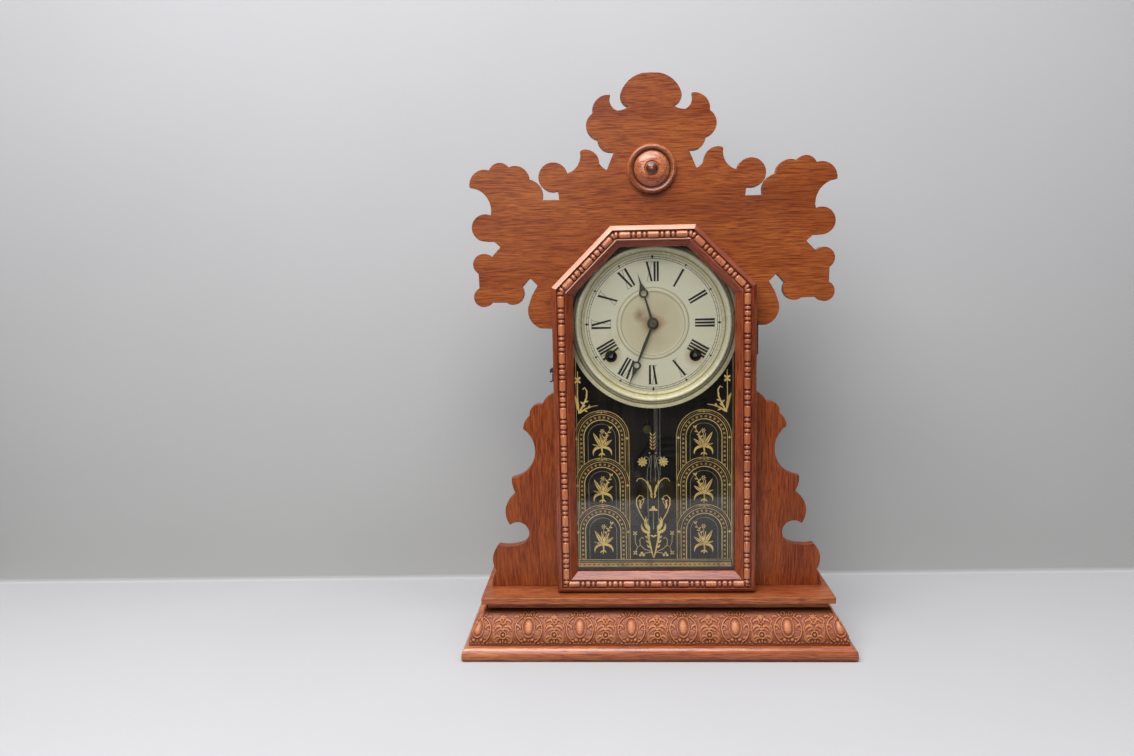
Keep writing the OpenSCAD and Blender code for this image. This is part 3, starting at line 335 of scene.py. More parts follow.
def oak(name, axis, light, mid, dark, seed, rough=0.34, coat=0.1, carved=None, mitred=False, painted_shade=None,
        turned=False, worn=None):
    """Stained oak: growth figure, fine wavy dark lines, short pores and uneven old shellac.

    axis is that of the grain. carved is the depth of the pores of a piece with a relief attribute, 0 in hollows and
    1 on high places; that relief also paints shade into the hollows and a highlight onto the high places. With mitred,
    the grain of the octagon's slanting boards runs along them. The list of heights paints shade: how dark the wood is
    painted at each height, under an overhang or along a foot. turned paints shade into the medallion's groove and cup
    and highlights onto its tip, the cup's lip and its rim. worn is the colour of a painted highlight on the slopes that
    face up and to the left, towards the lamps.
    """
    g = Graph(name)
    light, mid, dark = srgb(*light), srgb(*mid), srgb(*dark)
    if mitred:
        g.coords = along_each_board(g)
    push = g.node("TexNoise", Vector=g.coords, Scale=WAVER_SCALE, Detail=2).outputs["Color"]
    g.coords = g.node("VectorMath", {"operation": "MULTIPLY_ADD"}, _0=push, _1=(WAVER,) * 3, _2=g.coords).outputs[0]
    shift = (seed * 1.37, seed * 0.71, seed * 2.13)
    figure = g.noise(along(axis, 3, 26), 3, 0.5, 0.4, shift)
    lines = g.noise(along(axis, 44, 1300), 2, 0.55, 0, shift)
    pores = g.noise(along(axis, 90, 1500), 2, 0.55, 0, shift)
    mottle = g.noise(along("z", 22, 15), 5, 0.62, 0, shift)
    fleck = g.noise(along(axis, 160, 420), 3, 0.6, 0, shift)
    colour = g.ramp(figure, [(0.22, dark), (0.44, mid), (0.56, light), (0.76, mid)])
    drawn = 0.5 if carved else 1
    colour = g.stained(colour, (lines, 0.48, 0.62, drawn, (0.56, 0.4, 0.38)),
                       (lines, 0.48, 0.34, 0.8 * drawn, (1.22, 1.42, 1.3)))
    pore_mask = g.step(pores, 0.56, 0.68)
    colour = g.mix(g.times(pore_mask, 0.42), colour, darker(dark))
    colour = g.stained(colour, (mottle, 0.42, 0.7, 0.5, (0.7, 0.6, 0.55)), (fleck, 0.56, 0.7, 0.4, (1.25, 1.3, 1.2)))
    # painted shade in the relief's hollows and a painted highlight on its high places
    if carved:
        high = g.node("Attribute", {"attribute_name": "relief"}).outputs["Fac"]
        colour = g.tinted(colour, g.step(high, 0.05, 0.46, 1, 0), (0.3, 0.2, 0.17))
        colour = g.stained(colour, (high, 0.45, 0.8, 0.9, (1.45, 1.95, 1.6)))
    shine = 0.25
    # painted shade by height, where an overhang or the floor would shade the wood; the coat and shine fade where it is
    # painted
    if painted_shade:
        low, high = painted_shade[0][0], painted_shade[-1][0]
        shade_share = g.ramp(g.step(g.z, low * MM, high * MM), [((z - low) / (high - low), (s,) * 3) for z, s in painted_shade])
        colour = g.mix(shade_share, colour, PAINTED_SHADE_COLOUR)
        unshaded = g.step(shade_share, 0.15, 0.6, 1, 0)
        coat, shine = g.times(unshaded, coat), g.times(unshaded, shine)
    if turned:
        # painted shade and highlight, ring by ring of the medallion's radius
        wear = g.ramp(g.step(g.distance(0, MEDALLION_Z), 0, MEDALLION_R * MM), TURNED_SHADE_AND_TONE)
        colour = g.mix(1, colour, wear, "MULTIPLY")
    # painted highlight: pale on the slopes that face up and to the left, as the lamps above would light them
    if worn:
        facing = g.node("VectorMath", {"operation": "DOT_PRODUCT"}, _0=g.node("TexCoord").outputs["Normal"],
                        _1=HIGHLIGHT_FACING).outputs["Value"]
        pale = g.times(g.step(facing, 0.83, 0.9), g.step(mottle, 0.35, 0.6, 0.85, 0.6))
        colour = g.mix(pale, colour, srgb(*worn))
    height = g.plus(g.times(pores, -0.6), g.times(lines, -0.4))
    normal = g.bump(mottle, 0.06, 0.003, g.bump(height, 0.3 * (carved or 1), 0.0002))
    roughness = g.mix(pore_mask, g.step(mottle, 0.3, 0.7, rough - 0.05, rough + 0.12), (0.75, 0.75, 0.75, 1))
    return g.surface(Base_Color=colour, Roughness=roughness, Normal=normal, Coat_Weight=coat, Coat_Roughness=0.2,
                     Specular_IOR_Level=shine)


def plain_wood(name, axis, light, dark, seed):
    """Bare or lightly soiled softwood, for what is inside and behind."""
    g = Graph(name)
    light, dark = srgb(*light), srgb(*dark)
    rings = g.noise(along(axis, 2.2, 26), 4, 0.55, 1.2, (seed, seed * 2, seed))
    fibre = g.noise(along(axis, 30, 900), 2, 0.6)
    soil = g.noise(9, 5, 0.65)
    colour = g.ramp(rings, [(0.3, dark), (0.45, light), (0.56, light), (0.6, dark), (0.66, light)])
    colour = g.mix(g.step(fibre, 0.4, 0.7, 0, 0.35), colour, dark)
    colour = g.stained(colour, (soil, 0.5, 0.75, 0.6, (0.45, 0.38, 0.33)))
    return g.surface(Base_Color=colour, Roughness=0.72, Normal=g.bump(fibre, 0.3, 0.0003))


def metal(name, colour, tarnish, rough, seed, brushed=None, amount=0.5, metallic=1):
    """Metal with uneven tarnish, fine scratches (along an axis if brushed) and small pits."""
    g = Graph(name)
    tarnish = srgb(*tarnish)
    cloud = g.noise(60, 6, 0.65, 0.4, (seed,) * 3)
    pits = g.noise(1600, 2, 0.6)
    scratch = g.noise(along(brushed, 22.5, 900), 3, 0.6)
    shade = g.mix(g.step(cloud, 0.42, 0.68, 0, amount), srgb(*colour), tarnish)
    shade = g.mix(g.step(pits, 0.62, 0.75, 0, 0.5), shade, darker(tarnish))
    roughness = g.plus(g.step(cloud, 0.35, 0.7, rough, rough + 0.22), g.step(scratch, 0.4, 0.7, 0, 0.1))
    return g.surface(Base_Color=shade, Metallic=metallic, Roughness=roughness,
                     Normal=g.bump(g.plus(scratch, pits), 0.12, 0.00012))


CASE_STAIN = ((138, 66, 34), (120, 52, 26), (90, 38, 18))
crest_oak = oak("crest oak", "x", (142, 74, 31), (130, 63, 25), (110, 49, 19), 1, coat=0.05)
wing_oak = oak("wing oak", "z", (134, 64, 27), (122, 55, 23), (102, 43, 17), 2, coat=0.05)
# painted shade: along the plinth's foot, on the fillet under the top board, and at the pressed moulding's foot and
# under the board's overhang
plinth_oak = oak("plinth oak", "x", (186, 112, 68), (166, 89, 50), (120, 56, 29), 3, 0.26, 0.7,
                 painted_shade=((0, 0.9), (2.5, 0.3), (8, 0)))
top_oak = oak("base top oak", "x", (156, 88, 50), (142, 74, 40), (112, 53, 27), 4, 0.36, 0.2,
              painted_shade=((MOULDING_Z1, 0.5), (BOARD_UNDERSIDE, 0)))
pressed_oak = oak("pressed oak", "x", (180, 106, 74), (168, 92, 62), (146, 76, 52), 5, 0.36, 0.12, 0.5,
                  painted_shade=((MOULDING_Z0, 0.5), (38, 0), (39.6, 0), (42.2, 0.55), (43.6, 0.75), (46, 0.75)))
side_oak = oak("case side oak", "z", *CASE_STAIN, 6, 0.4)
stile_oak = oak("door stile oak", "z", (134, 64, 35), (118, 51, 27), (88, 36, 18), 7, 0.24, 0.4)
rail_oak = oak("door rail oak", "x", (140, 70, 42), (122, 55, 32), (88, 38, 21), 8, 0.22, 0.5)
# the octagon's outer bevels get a painted highlight
octagon_oak = oak("door octagon oak", "x", (146, 74, 46), (128, 59, 35), (92, 40, 23), 11, 0.22, 0.5,
                  mitred=True, worn=(228, 178, 152))
roof_oak = oak("case roof oak", "y", *CASE_STAIN, 12, 0.4)
bead_oak = oak("bead oak", "z", (158, 84, 58), (138, 66, 44), (98, 44, 26), 9, 0.2, 1, 0.4)
turned_oak = oak("turned oak", "x", (176, 106, 70), (152, 82, 50), (114, 56, 32), 10, 0.24, 0.7, turned=True)
inner_wood = plain_wood("inner wood", "z", (120, 88, 58), (84, 58, 36), 1)
# dark as old wood and as painted shade inside the shut case
back_wood = plain_wood("back wood", "z", (58, 47, 37), (38, 31, 25), 2)

movement_brass = metal("movement brass", (196, 160, 92), (120, 88, 44), 0.28, 1)
# dark as tarnish; on the pendulum bob it is also painted shade inside the case
dark_brass = metal("dark brass", (66, 56, 36), (40, 33, 24), 0.5, 2)
dull_brass = metal("dull brass", (112, 106, 72), (84, 76, 52), 0.45, 12)
nut_steel = metal("nut steel", (122, 116, 100), (84, 78, 66), 0.34, 13, None, 0.6, 0.4)
# dark as tarnish and as painted shade inside the case
plate_brass = metal("plate brass", (62, 52, 34), (40, 33, 24), 0.45, 11)
hinge_brass = metal("hinge brass", (104, 78, 46), (58, 40, 26), 0.4, 3, "z")
bright_steel = metal("bright steel", (160, 160, 158), (86, 80, 72), 0.3, 4, "z")
spring_steel = metal("spring steel", (96, 98, 104), (52, 50, 50), 0.28, 5, None, 0.6)
# dark as its own finish and as painted shade inside the case
gong_steel = metal("gong steel", (42, 40, 38), (34, 31, 29), 0.6, 6, None, 0.6, 0.2)
dark_steel = metal("blued steel", (42, 42, 48), (30, 24, 22), 0.34, 7, None, 0.6, 0.85)
hand_steel = metal("hand steel", (84, 80, 68), (56, 51, 42), 0.36, 10, None, 0.6, 0.45)
black_iron = metal("black iron", (38, 36, 36), (56, 40, 32), 0.5, 8, None, 0.5, 0.6)


# ---- dial and glass materials
def shades(*rows):
    """Stops of a ramp: a position, then a colour from 0 to 255."""
    return [(position, srgb(*colour)) for position, *colour in rows]


def pan_material():
    """Old plated brass: pale and grey-green and dull on the flange, with painted shade in the creases of the rolled
    bezel, a painted highlight along its crest and a painted highlight over its lower side.
    """
    g = Graph("dial pan metal")
    # the dark stops are painted shade in the bezel's creases; the stop at 0.42 is a painted highlight along its crest
    shade = g.ramp(g.step(g.distance(0, DIAL_Z), 0.066, 0.084), shades(
        (0, 96, 92, 68), (0.05, 236, 230, 204), (0.15, 230, 224, 196), (0.2, 140, 134, 100), (0.25, 228, 221, 188),
        (0.42, 250, 247, 228), (0.52, 242, 238, 212), (0.56, 150, 142, 106), (0.62, 238, 232, 204),
        (0.69, 212, 205, 172), (0.74, 108, 102, 76), (0.78, 232, 227, 200), (0.96, 226, 220, 192), (1, 124, 118, 90)))
    cloud = g.noise(55, 6, 0.65, 0.4)
    spots = g.noise(650, 4, 0.65)
    # painted highlight: the bezel lighter towards its bottom
    painted_lower_highlight = g.step(g.z, (DIAL_Z - 30) * MM, (DIAL_Z - 74) * MM)
    shade = g.tinted(shade, painted_lower_highlight, (1.42, 1.36, 1.2))
    shade = g.stained(shade, (cloud, 0.45, 0.68, 0.4, (0.62, 0.6, 0.48)), (spots, 0.57, 0.72, 0.5, (0.4, 0.37, 0.28)))
    return g.surface(Base_Color=shade, Metallic=0.15, Roughness=g.step(cloud, 0.35, 0.7, 0.2, 0.36),
                     Normal=g.bump(spots, 0.25, 0.0002))


# stains on the paper: X and Z from the dial's middle, radius, strength and colour
STAINS = ((-13, 9, 7.5, 0.75, (140, 112, 74)), (7, 0.5, 8, 0.7, (184, 120, 76)), (-4, -3, 10, 0.5, (168, 138, 100)),
          (4, -16, 11, 0.3, (184, 162, 120)), (10, 14, 10, 0.25, (192, 172, 130)))
# the raised ring round the paper's middle: painted shade in its creases and a painted highlight on its crest
RING_FROM, RING_TO = 30, 36
RING = [(0, (1, 1, 1)), (0.1, (0.92, 0.92, 0.88)), (0.2, (0.34, 0.34, 0.28)), (0.28, (1.08, 1.08, 1.05)),
        (0.5, (1, 1, 0.96)), (0.7, (0.84, 0.85, 0.78)), (0.8, (0.3, 0.3, 0.24)), (0.88, (0.88, 0.88, 0.84)),
        (1, (1, 1, 1))]


def paper_material():
    """Aged dial paper: cream, yellowed round the winding holes, brown and worn towards the middle."""
    g = Graph("dial paper")
    cloud = g.noise(38, 6, 0.62)
    fine = g.noise(420, 3, 0.6)
    from_middle = g.plus(g.distance(0, DIAL_Z), g.wander(cloud, 0.012))
    colour = g.ramp(g.step(from_middle, 0, 0.07), shades(
        (0, 140, 104, 76), (0.07, 172, 144, 114), (0.16, 216, 204, 174), (0.4, 222, 212, 182), (0.5, 234, 229, 208),
        (0.88, 230, 226, 204), (0.96, 216, 211, 184)))
    # painted shade and highlight on the raised ring
    raised = g.ramp(g.step(g.distance(0, DIAL_Z), RING_FROM * MM, RING_TO * MM), RING)
    colour = g.tinted(colour, g.step(cloud, 0.3, 0.55, 0.6, 1), raised)
    for x in (-WINDING_X, WINDING_X):
        colour = g.mix(g.step(g.distance(x, DIAL_Z - WINDING_DROP), 0.005, 0.0125, 0.7, 0), colour,
                       srgb(178, 160, 100))
    for x, z, radius, strength, tint in STAINS:
        colour = g.mix(g.step(g.plus(g.distance(x, DIAL_Z + z), g.wander(cloud, 0.02)), 0, radius * MM, strength,
                              0), colour, srgb(*tint))
    colour = g.mix(g.step(cloud, 0.58, 0.74, 0, 0.4), colour, srgb(206, 180, 136))
    colour = g.mix(g.step(fine, 0.5, 0.75, 0, 0.15), colour, srgb(176, 162, 130))
    return g.surface(Base_Color=colour, Roughness=0.52, Normal=g.bump(fine, 0.15, 0.0002), Coat_Weight=0.12,
                     Coat_Roughness=0.3)


def ink_material():
    """Printer's ink, worn through here and there."""
    g = Graph("dial ink")
    wear = g.step(g.noise(700, 4, 0.6), 0.6, 0.78, 0, 0.4)
    return g.surface(Base_Color=g.mix(wear, srgb(24, 22, 20), srgb(100, 94, 78)), Roughness=0.55)


def gilt_material(name, bright, dull, spots):
    """Gilding on the back of the glass, rubbed and darkened in patches."""
    g = Graph(name)
    patch = g.noise(75, 5, 0.6)
    grain = g.noise(1300, 3, 0.7)
    colour = g.ramp(patch, [(0.34, srgb(*dull)), (0.52, srgb(*bright)), (0.68, srgb(*spots))])
    colour = g.mix(g.step(grain, 0.55, 0.75, 0, 0.35), colour, darker(srgb(*dull)))
    return g.surface(Base_Color=colour, Metallic=0.2, Roughness=0.5, Normal=g.bump(grain, 0.2, 0.0001))


SMEAR_X = 1.1  # an upright worn streak on the glass, just right of the middle


def glass_material():
    """A thin old pane: clear, a little green, with a film of dust low down. Heights are in metres."""
    g = Graph("old glass")
    film = g.noise(along("z", 40, 26), 6, 0.68, 0.6)
    specks = g.noise(900, 2, 0.5)
    low = g.times(g.step(g.z, 0.19, 0.165), g.step(g.z, 0.1, 0.14))
    dust = g.times(low, g.step(film, 0.5, 0.72), 0.13)
    dust = g.plus(dust, g.step(specks, 0.72, 0.8, 0, 0.12))
    streaks = g.noise(along("z", 60, 900), 3, 0.6)
    beside = g.maths("ABSOLUTE", g.maths("SUBTRACT", g.x, SMEAR_X * MM))
    smear = g.times(g.step(beside, 0.0024, 0.001), g.step(g.z, 0.17, 0.215), g.step(g.z, 0.26, 0.245))
    dust = g.plus(dust, g.times(smear, g.step(streaks, 0.35, 0.65, 0.04, 0.14)))
    wave = g.bump(g.noise(14, 2, 0.4), 0.06, 0.004)
    clear = g.node("BsdfTransparent", Color=(0.985, 0.99, 0.98, 1))
    shine = g.node("BsdfGlossy", Color=(1, 1, 1, 1), Roughness=0.04, Normal=wave)
    powder = g.node("BsdfDiffuse", Color=srgb(140, 134, 124))
    edge = g.node("Fresnel", IOR=1.45, Normal=wave).outputs[0]
    return g.show(g.blend(dust, g.blend(g.times(edge, 0.8), clear, shine), powder))


# ---- pressed moulding of the base
SETBACK, LEAN, THICK = 7, 14.6, 26.5
# the moulding's outer face, in shares of its lean and its height
FACE_FORM = [(0, 0), (0.03, 0.09), (0.1, 0.235), (0.22, 0.34), (0.45, 0.48), (0.7, 0.65), (0.9, 0.81), (1, 0.87)]
TOP_FORM = [(1.3, 0.9), (1.4, 1)]  # the plain recess above it
PERIOD = 50.1  # from one oval to the next
SIDE_START = 11.0  # how far behind the front the first oval of a side stands
FIT = 0.97  # the pattern's height over the face's own
ROWS, SIDE_STEPS, FRONT_STEPS = 116, 260, 1040
FADE_IN, FADE_OUT, FADE_STEPS = 1.6, 1.2, 3  # how the pattern fades at the foot, the head and the mitres
GROUND = 0.33  # share of light on the plain ground between the raised parts


class Relief:
    """Heights of a pressed pattern on a fine grid: u from an oval's middle, w above the moulding's lower edge."""

    def __init__(self, width, height, pitch):
        self.pitch = pitch
        self.u, self.w = np.meshgrid(np.arange(0, width + pitch, pitch), np.arange(0, height + pitch, pitch))
        self.h = np.zeros_like(self.u)

    def raise_to(self, distance, half, height):
        inside = np.clip(1 - (distance / half) ** 2, 0, 1)
        self.h = np.maximum(self.h, height * np.sqrt(inside))

    def dome(self, u, w, ru, rw, height, turn=0):
        c, s = cos(rad(turn)), sin(rad(turn))
        du, dw = self.u - u, self.w - w
        self.raise_to(np.hypot((du * c + dw * s) / ru, (dw * c - du * s) / rw), 1, height)

    def rim(self, u, w, ru, rw, half, height):
        radius = np.hypot((self.u - u) / ru, (self.w - w) / rw)
        self.raise_to(np.abs(radius - 1) * (ru + rw) / 2, half, height)

    def line(self, points, half, height, taper=0):
        points = np.asarray(points, float)
        n = len(points) - 1
        for i, (a, d) in enumerate(zip(points, np.diff(points, axis=0))):
            t = np.clip(((self.u - a[0]) * d[0] + (self.w - a[1]) * d[1]) / (d @ d), 0, 1)
            distance = np.hypot(self.u - a[0] - t * d[0], self.w - a[1] - t * d[1])
            share = (i + 0.5) / n
            self.raise_to(distance, half * (1 - taper * share), height * (1 - 0.5 * taper * share))

    def arc(self, u, w, radius, a0, a1, half, height, grow=0):
        """An arc, or a volute where grow changes its radius along the way."""
        ways = zip(np.linspace(rad(a0), rad(a1), 22), np.linspace(radius, radius + grow, 22))
        self.line([(u + r * cos(a), w + r * sin(a)) for a, r in ways], half, height)

    def leaf(self, u, w, angle, length, half, height, bend=0):
        """A pointed leaf with a sunk midrib."""
        before = self.h
        shares = np.arange(8) / 7
        turns = np.radians(angle + bend * shares)
        points = np.stack([u + length * shares * np.cos(turns), w + length * shares * np.sin(turns)], 1)
        for i in range(7):
            share = (i + 0.5) / 7
            wide = half * sin(pi * min(0.96, 0.12 + 0.88 * share)) ** 0.8
            self.line(points[i:i + 2], max(wide, 0.3), height * (1 - 0.35 * share))
        with_leaf, self.h = self.h, np.zeros_like(self.h)
        self.line(points[:6], 0.35, 0.45)
        self.h = np.maximum(before, with_leaf - self.h)

    def creases(self):
        """How much light a height catches: near 0 in a crease, GROUND on plain ground and near 1 on a sharp crest."""
        reach = 9
        kernel = np.hanning(2 * reach + 1)
        around = np.pad(self.h, reach, "reflect")
        for axis in (0, 1):
            around = np.apply_along_axis(np.convolve, axis, around, kernel / kernel.sum(), "same")
        return np.clip(GROUND + 0.19 * self.h + 0.7 * (self.h - around[reach:-reach, reach:-reach]), 0, 1)

    def at(self, u, w, grid):
        i = np.clip(u / self.pitch, 0, grid.shape[1] - 1.001)
        j = np.clip(w / self.pitch, 0, grid.shape[0] - 1.001)
        i0, j0 = i.astype(int), j.astype(int)
        fi, fj = i - i0, j - j0
        low, high = (grid[k, i0] * (1 - fi) + grid[k, i0 + 1] * fi for k in (j0, j0 + 1))
        return low * (1 - fj) + high * fj


def pressed_pattern():
    """Half a repeat: an oval boss in an open ring at u 0, leaves over a small ring at the repeat's half."""
    r = Relief(PERIOD / 2, MOULDING_Z1 - MOULDING_Z0, 0.16)
    mid, side = 17, PERIOD / 2
    r.rim(0, mid, 5.9, 9.1, 0.6, 1.3)
    r.arc(0, mid - 2, 13, -62, 62, 0.75, 1.7)
    r.arc(3.9, 29.6, 2.1, 230, -60, 0.8, 1.6, -0.7)
    for leaf in ((12.6, 19, 158, 6.2, 1.2, 1.8, 60), (12.4, 14.4, 178, 3.6, 0.8, 1.3, -30),
                 (10.4, 8.4, 226, 4.4, 0.9, 1.4, -30), (6.4, 27.6, 28, 4.6, 0.9, 1.4, 20),
                 (9.8, 26.2, 60, 4.6, 0.9, 1.4, -50)):
        r.leaf(*leaf)
    for dome in ((0, mid, 4, 7, 1.9), (3.6, 5.4, 1.9, 1.6, 1.7, 30), (6.6, 4.4, 1.2, 1, 1.2, -30),
                 (0, 4.6, 0.9, 1.2, 1.1), (0.2, 28.4, 0.8, 1.2, 1.1)):
        r.dome(*dome)
    # leaves over a small ring
    r.line([(side - 2.6, 22.4), (side, 19.6)], 0.6, 1.3)
    r.line([(side, 24), (side - 2.6, 20.4)], 0.5, 1.1)
    for turn in (90, 120, 150):
        r.line([(side, 14), (side + 3.6 * cos(rad(turn)), 14 + 3.6 * sin(rad(turn)))], 0.5, 1.4, 0.3)
    r.rim(side, 9.8, 3.1, 3.1, 0.7, 1.7)
    r.arc(side - 6.4, 3.9, 1.6, 60, 330, 0.7, 1.4, -0.6)
    for back, *leaf in ((0.3, 25.6, 90, 3.8, 1, 1.5, 10), (0.3, 25.6, 135, 3.8, 1, 1.5, 10),
                        (0.3, 25.6, 176, 3.8, 1, 1.5, 10), (2.4, 23.4, 142, 6, 1.3, 1.8, 62),
                        (1.8, 17.2, 128, 7.4, 1.5, 1.9, 78), (1.4, 15.4, 168, 5.4, 1.1, 1.5, 44),
                        (3.6, 8.6, 146, 7.6, 1.4, 1.9, 82), (3.2, 7.2, 190, 5.6, 1.1, 1.6, 36)):
        r.leaf(side - back, *leaf)
    for back, *dome in ((0, 25, 1.5, 1.3, 1.8), (0, 9.8, 1.5, 1.5, 1.7), (0, 4.2, 0.9, 1.9, 1.5),
                        (2.6, 3.4, 1.2, 1, 1.3, -30)):
        r.dome(side - back, *dome)
    # low scrolls and buds that fill the ground between the ring and the leaves
    r.line([(14.4, 4.6), (15.6, 8.4), (15.9, 12.4), (15.2, 16.6), (15.9, 20.4), (15, 24)], 0.4, 0.8)
    for leaf in ((15.6, 9, 38, 3.4, 0.8, 1.1, 30), (15.8, 13, 148, 2.6, 0.7, 1, -30),
                 (15.2, 17, 30, 3.4, 0.8, 1.1, 40), (15.6, 20.8, 140, 3.6, 0.8, 1.1, -40),
                 (15.2, 23.6, 60, 4.2, 0.9, 1.2, -30)):
        r.leaf(*leaf)
    for dome in ((13.4, 2.8, 1.2, 0.8, 1.1), (9.6, 2.4, 1.4, 0.8, 1.1), (5.4, 1.9, 1.4, 0.8, 1),
                 (1.8, 2, 0.9, 0.8, 1), (13.2, 26.6, 1.2, 0.9, 1.1, 20), (4.6, 25, 0.9, 0.9, 1)):
        r.dome(*dome)
    return r


def pressed_moulding():
    """The moulding round the base's front and sides, as one skin with its pattern raised from it."""
    pattern = pressed_pattern()
    creases = pattern.creases()
    form = np.array(FACE_FORM + TOP_FORM) * (LEAN, MOULDING_Z1 - MOULDING_Z0) + (SETBACK, MOULDING_Z0)
    way = np.concatenate([[0], np.cumsum(np.hypot(*np.diff(form, axis=0).T))])
    dense = np.linspace(0, way[-1], ROWS)
    s_row, z_row = np.interp(dense, way, form[:, 0]), np.interp(dense, way, form[:, 1])
    ds, dz = np.gradient(s_row), np.gradient(z_row)
    length = np.hypot(ds, dz)
    face_end = way[len(FACE_FORM) - 1]
    fade_row = np.clip(dense / FADE_IN, 0, 1) * np.clip((face_end - dense) / FADE_OUT, 0, 1)
    # the flat back of the moulding is two more points without pattern
    s_all = np.concatenate([s_row, [SETBACK + THICK] * 2])
    z_all = np.concatenate([z_row, [MOULDING_Z1, MOULDING_Z0]])
    fade_all, w_all, out_all, up_all = (np.concatenate([row, [0] * 2])
                                        for row in (fade_row, dense * FIT, dz / length, ds / length))
    columns, reliefs = [], []

    def column(base_x, base_y, out_x, out_y, u, edge):
        u = np.abs((u + PERIOD / 2) % PERIOD - PERIOD / 2) + 0 * w_all
        h = pattern.at(u, w_all, pattern.h) * fade_all * edge
        columns.append(np.stack([base_x + out_x * out_all * h, base_y + out_y * out_all * h, z_all + up_all * h], 1))
        reliefs.append(GROUND + (pattern.at(u, w_all, creases) - GROUND) * fade_all * edge)

    sides = [(BACK + (FRONT + s_all - BACK) * i / SIDE_STEPS, min(1, (SIDE_STEPS - i) / FADE_STEPS))
             for i in range(SIDE_STEPS)]
    for y, edge in sides:
        column(-HALF_W + s_all, y, -1, 0, y - FRONT - SIDE_START, edge)
    for i in range(FRONT_STEPS + 1):
        x = (HALF_W - s_all) * (2 * i / FRONT_STEPS - 1)
        column(x, FRONT + s_all, 0, -1, x - PERIOD / 2, min(1, min(i, FRONT_STEPS - i) / FADE_STEPS))
    for y, edge in reversed(sides):
        column(HALF_W - s_all, y, 1, 0, y - FRONT - SIDE_START, edge)
    rows, count = len(s_all), len(columns)
    faces = [(a, d, c, b) for a, b, c, d in grid_faces(count, rows, 0, True)]
    faces += [tuple(range(rows)), tuple(range(count * rows - 1, (count - 1) * rows - 1, -1))]
    return add_mesh("base_pressed_moulding", np.concatenate(columns), faces, True, np.concatenate(reliefs))


# ---- bead-and-reel strip in the door
BEAD_INSET, BEAD_Y = 8.7, DOOR_FRONT + 2.8
# length, radius and rounding of the long bead, a small, a middling and a small one
REPEAT = [(10.8, 3.4, 1.2), (3, 3.2, 1), (4.6, 3.4, 1.1), (3, 3.2, 1)]
REEL_GAP, NECK_R, END_R = 1.3, 1.9, 2.2
BEAD_SHIFT = 5.5  # puts a long bead at the middle of each length
BEAD_SIDES, BEAD_STEP, BEAD_OVER = 13, 0.42, 4  # points across, step along, and reach beyond each corner
BEAD_DEEPER = 1.02  # depth of the half round over its half width


def bead_radius(s):
    """Radius of the strip at a distance s along it."""
    s = s % (sum(b[0] for b in REPEAT) + len(REPEAT) * REEL_GAP)
    for length, radius, end in REPEAT:
        if s < length:
            drop = max(0, 1 - min(s, length - s) / end)
            return END_R + (radius - END_R) * sqrt(1 - drop * drop) if drop else radius
        s -= length
        if s < REEL_GAP:
            return NECK_R
        s -= REEL_GAP
    return NECK_R


def bead_strips():
    half, foot = DOOR_HALF_W - BEAD_INSET, DOOR_FOOT + BEAD_INSET
    h = half * OCTAGON
    corners = np.array([(-half, foot), (half, foot), (half, DOOR_Z + h), (h, DOOR_Z + half), (-h, DOOR_Z + half),
                        (-half, DOOR_Z + h)])
    edges = np.roll(corners, -1, 0) - corners
    lengths = np.linalg.norm(edges, axis=1)
    ways = edges / lengths[:, None]
    verts, faces, raised = [], [], []
    for k, (p, length, t) in enumerate(zip(corners, lengths, ways)):
        out = np.array([t[1], -t[0]])
        # shift of each mitre for each millimetre outwards
        k0, k1 = (tan(acos(np.clip(t @ ways[other], -1, 1)) / 2) for other in (k - 1, (k + 1) % 6))
        n = int((length + 2 * BEAD_OVER) / BEAD_STEP)
        start = len(verts)
        for i in range(n + 1):
            s = -BEAD_OVER + (length + 2 * BEAD_OVER) * i / n
            r = bead_radius(s - length / 2 + BEAD_SHIFT)
            for a in np.linspace(0, pi, BEAD_SIDES):
                reach = r * cos(a)
                x, z = p + t * min(max(s, -k0 * reach), length + k1 * reach) + out * reach
                verts.append((x, BEAD_Y - r * sin(a) * BEAD_DEEPER, z))
                # the beads' relief, for the painted shade in the necks and the painted highlight on the beads' tops
                raised.append((r - NECK_R) / (REPEAT[0][1] - NECK_R) * sin(a) ** 0.5)
        faces += [tuple(reversed(f)) for f in grid_faces(n + 1, BEAD_SIDES, start)]
    return add_mesh("door_bead_strips", verts, faces, True, np.clip(raised, 0, 1))


# ---- dial
# radius and height above the pan's back: flange, then the bezel in two steps, inwards
BEZEL_FORM = [(83.5, 0), (83.5, 0.55), (83.2, 0.75), (79.4, 0.8), (78.7, 1), (78.2, 1.7), (78, 3.2), (77.6, 4.7),
              (76.9, 5.5), (76.2, 5.8), (75.8, 6.2), (75.55, 7.3), (75, 8.4), (74.2, 9), (73.3, 9.1), (72.6, 8.8),
              (72.1, 8.1), (71.5, 7), (70.7, 5.8), (69.8, 4.7), (68.8, 3.7), (67.9, 2.9), (67.3, 2), (67, 1.1),
              (66.9, 0.72)]
FLOOR_RISE, FLOOR_INNER_R = 0.66, 3.7
HOLE_CLEAR_R = 6.2  # the floor is open within this of a winding hole's middle


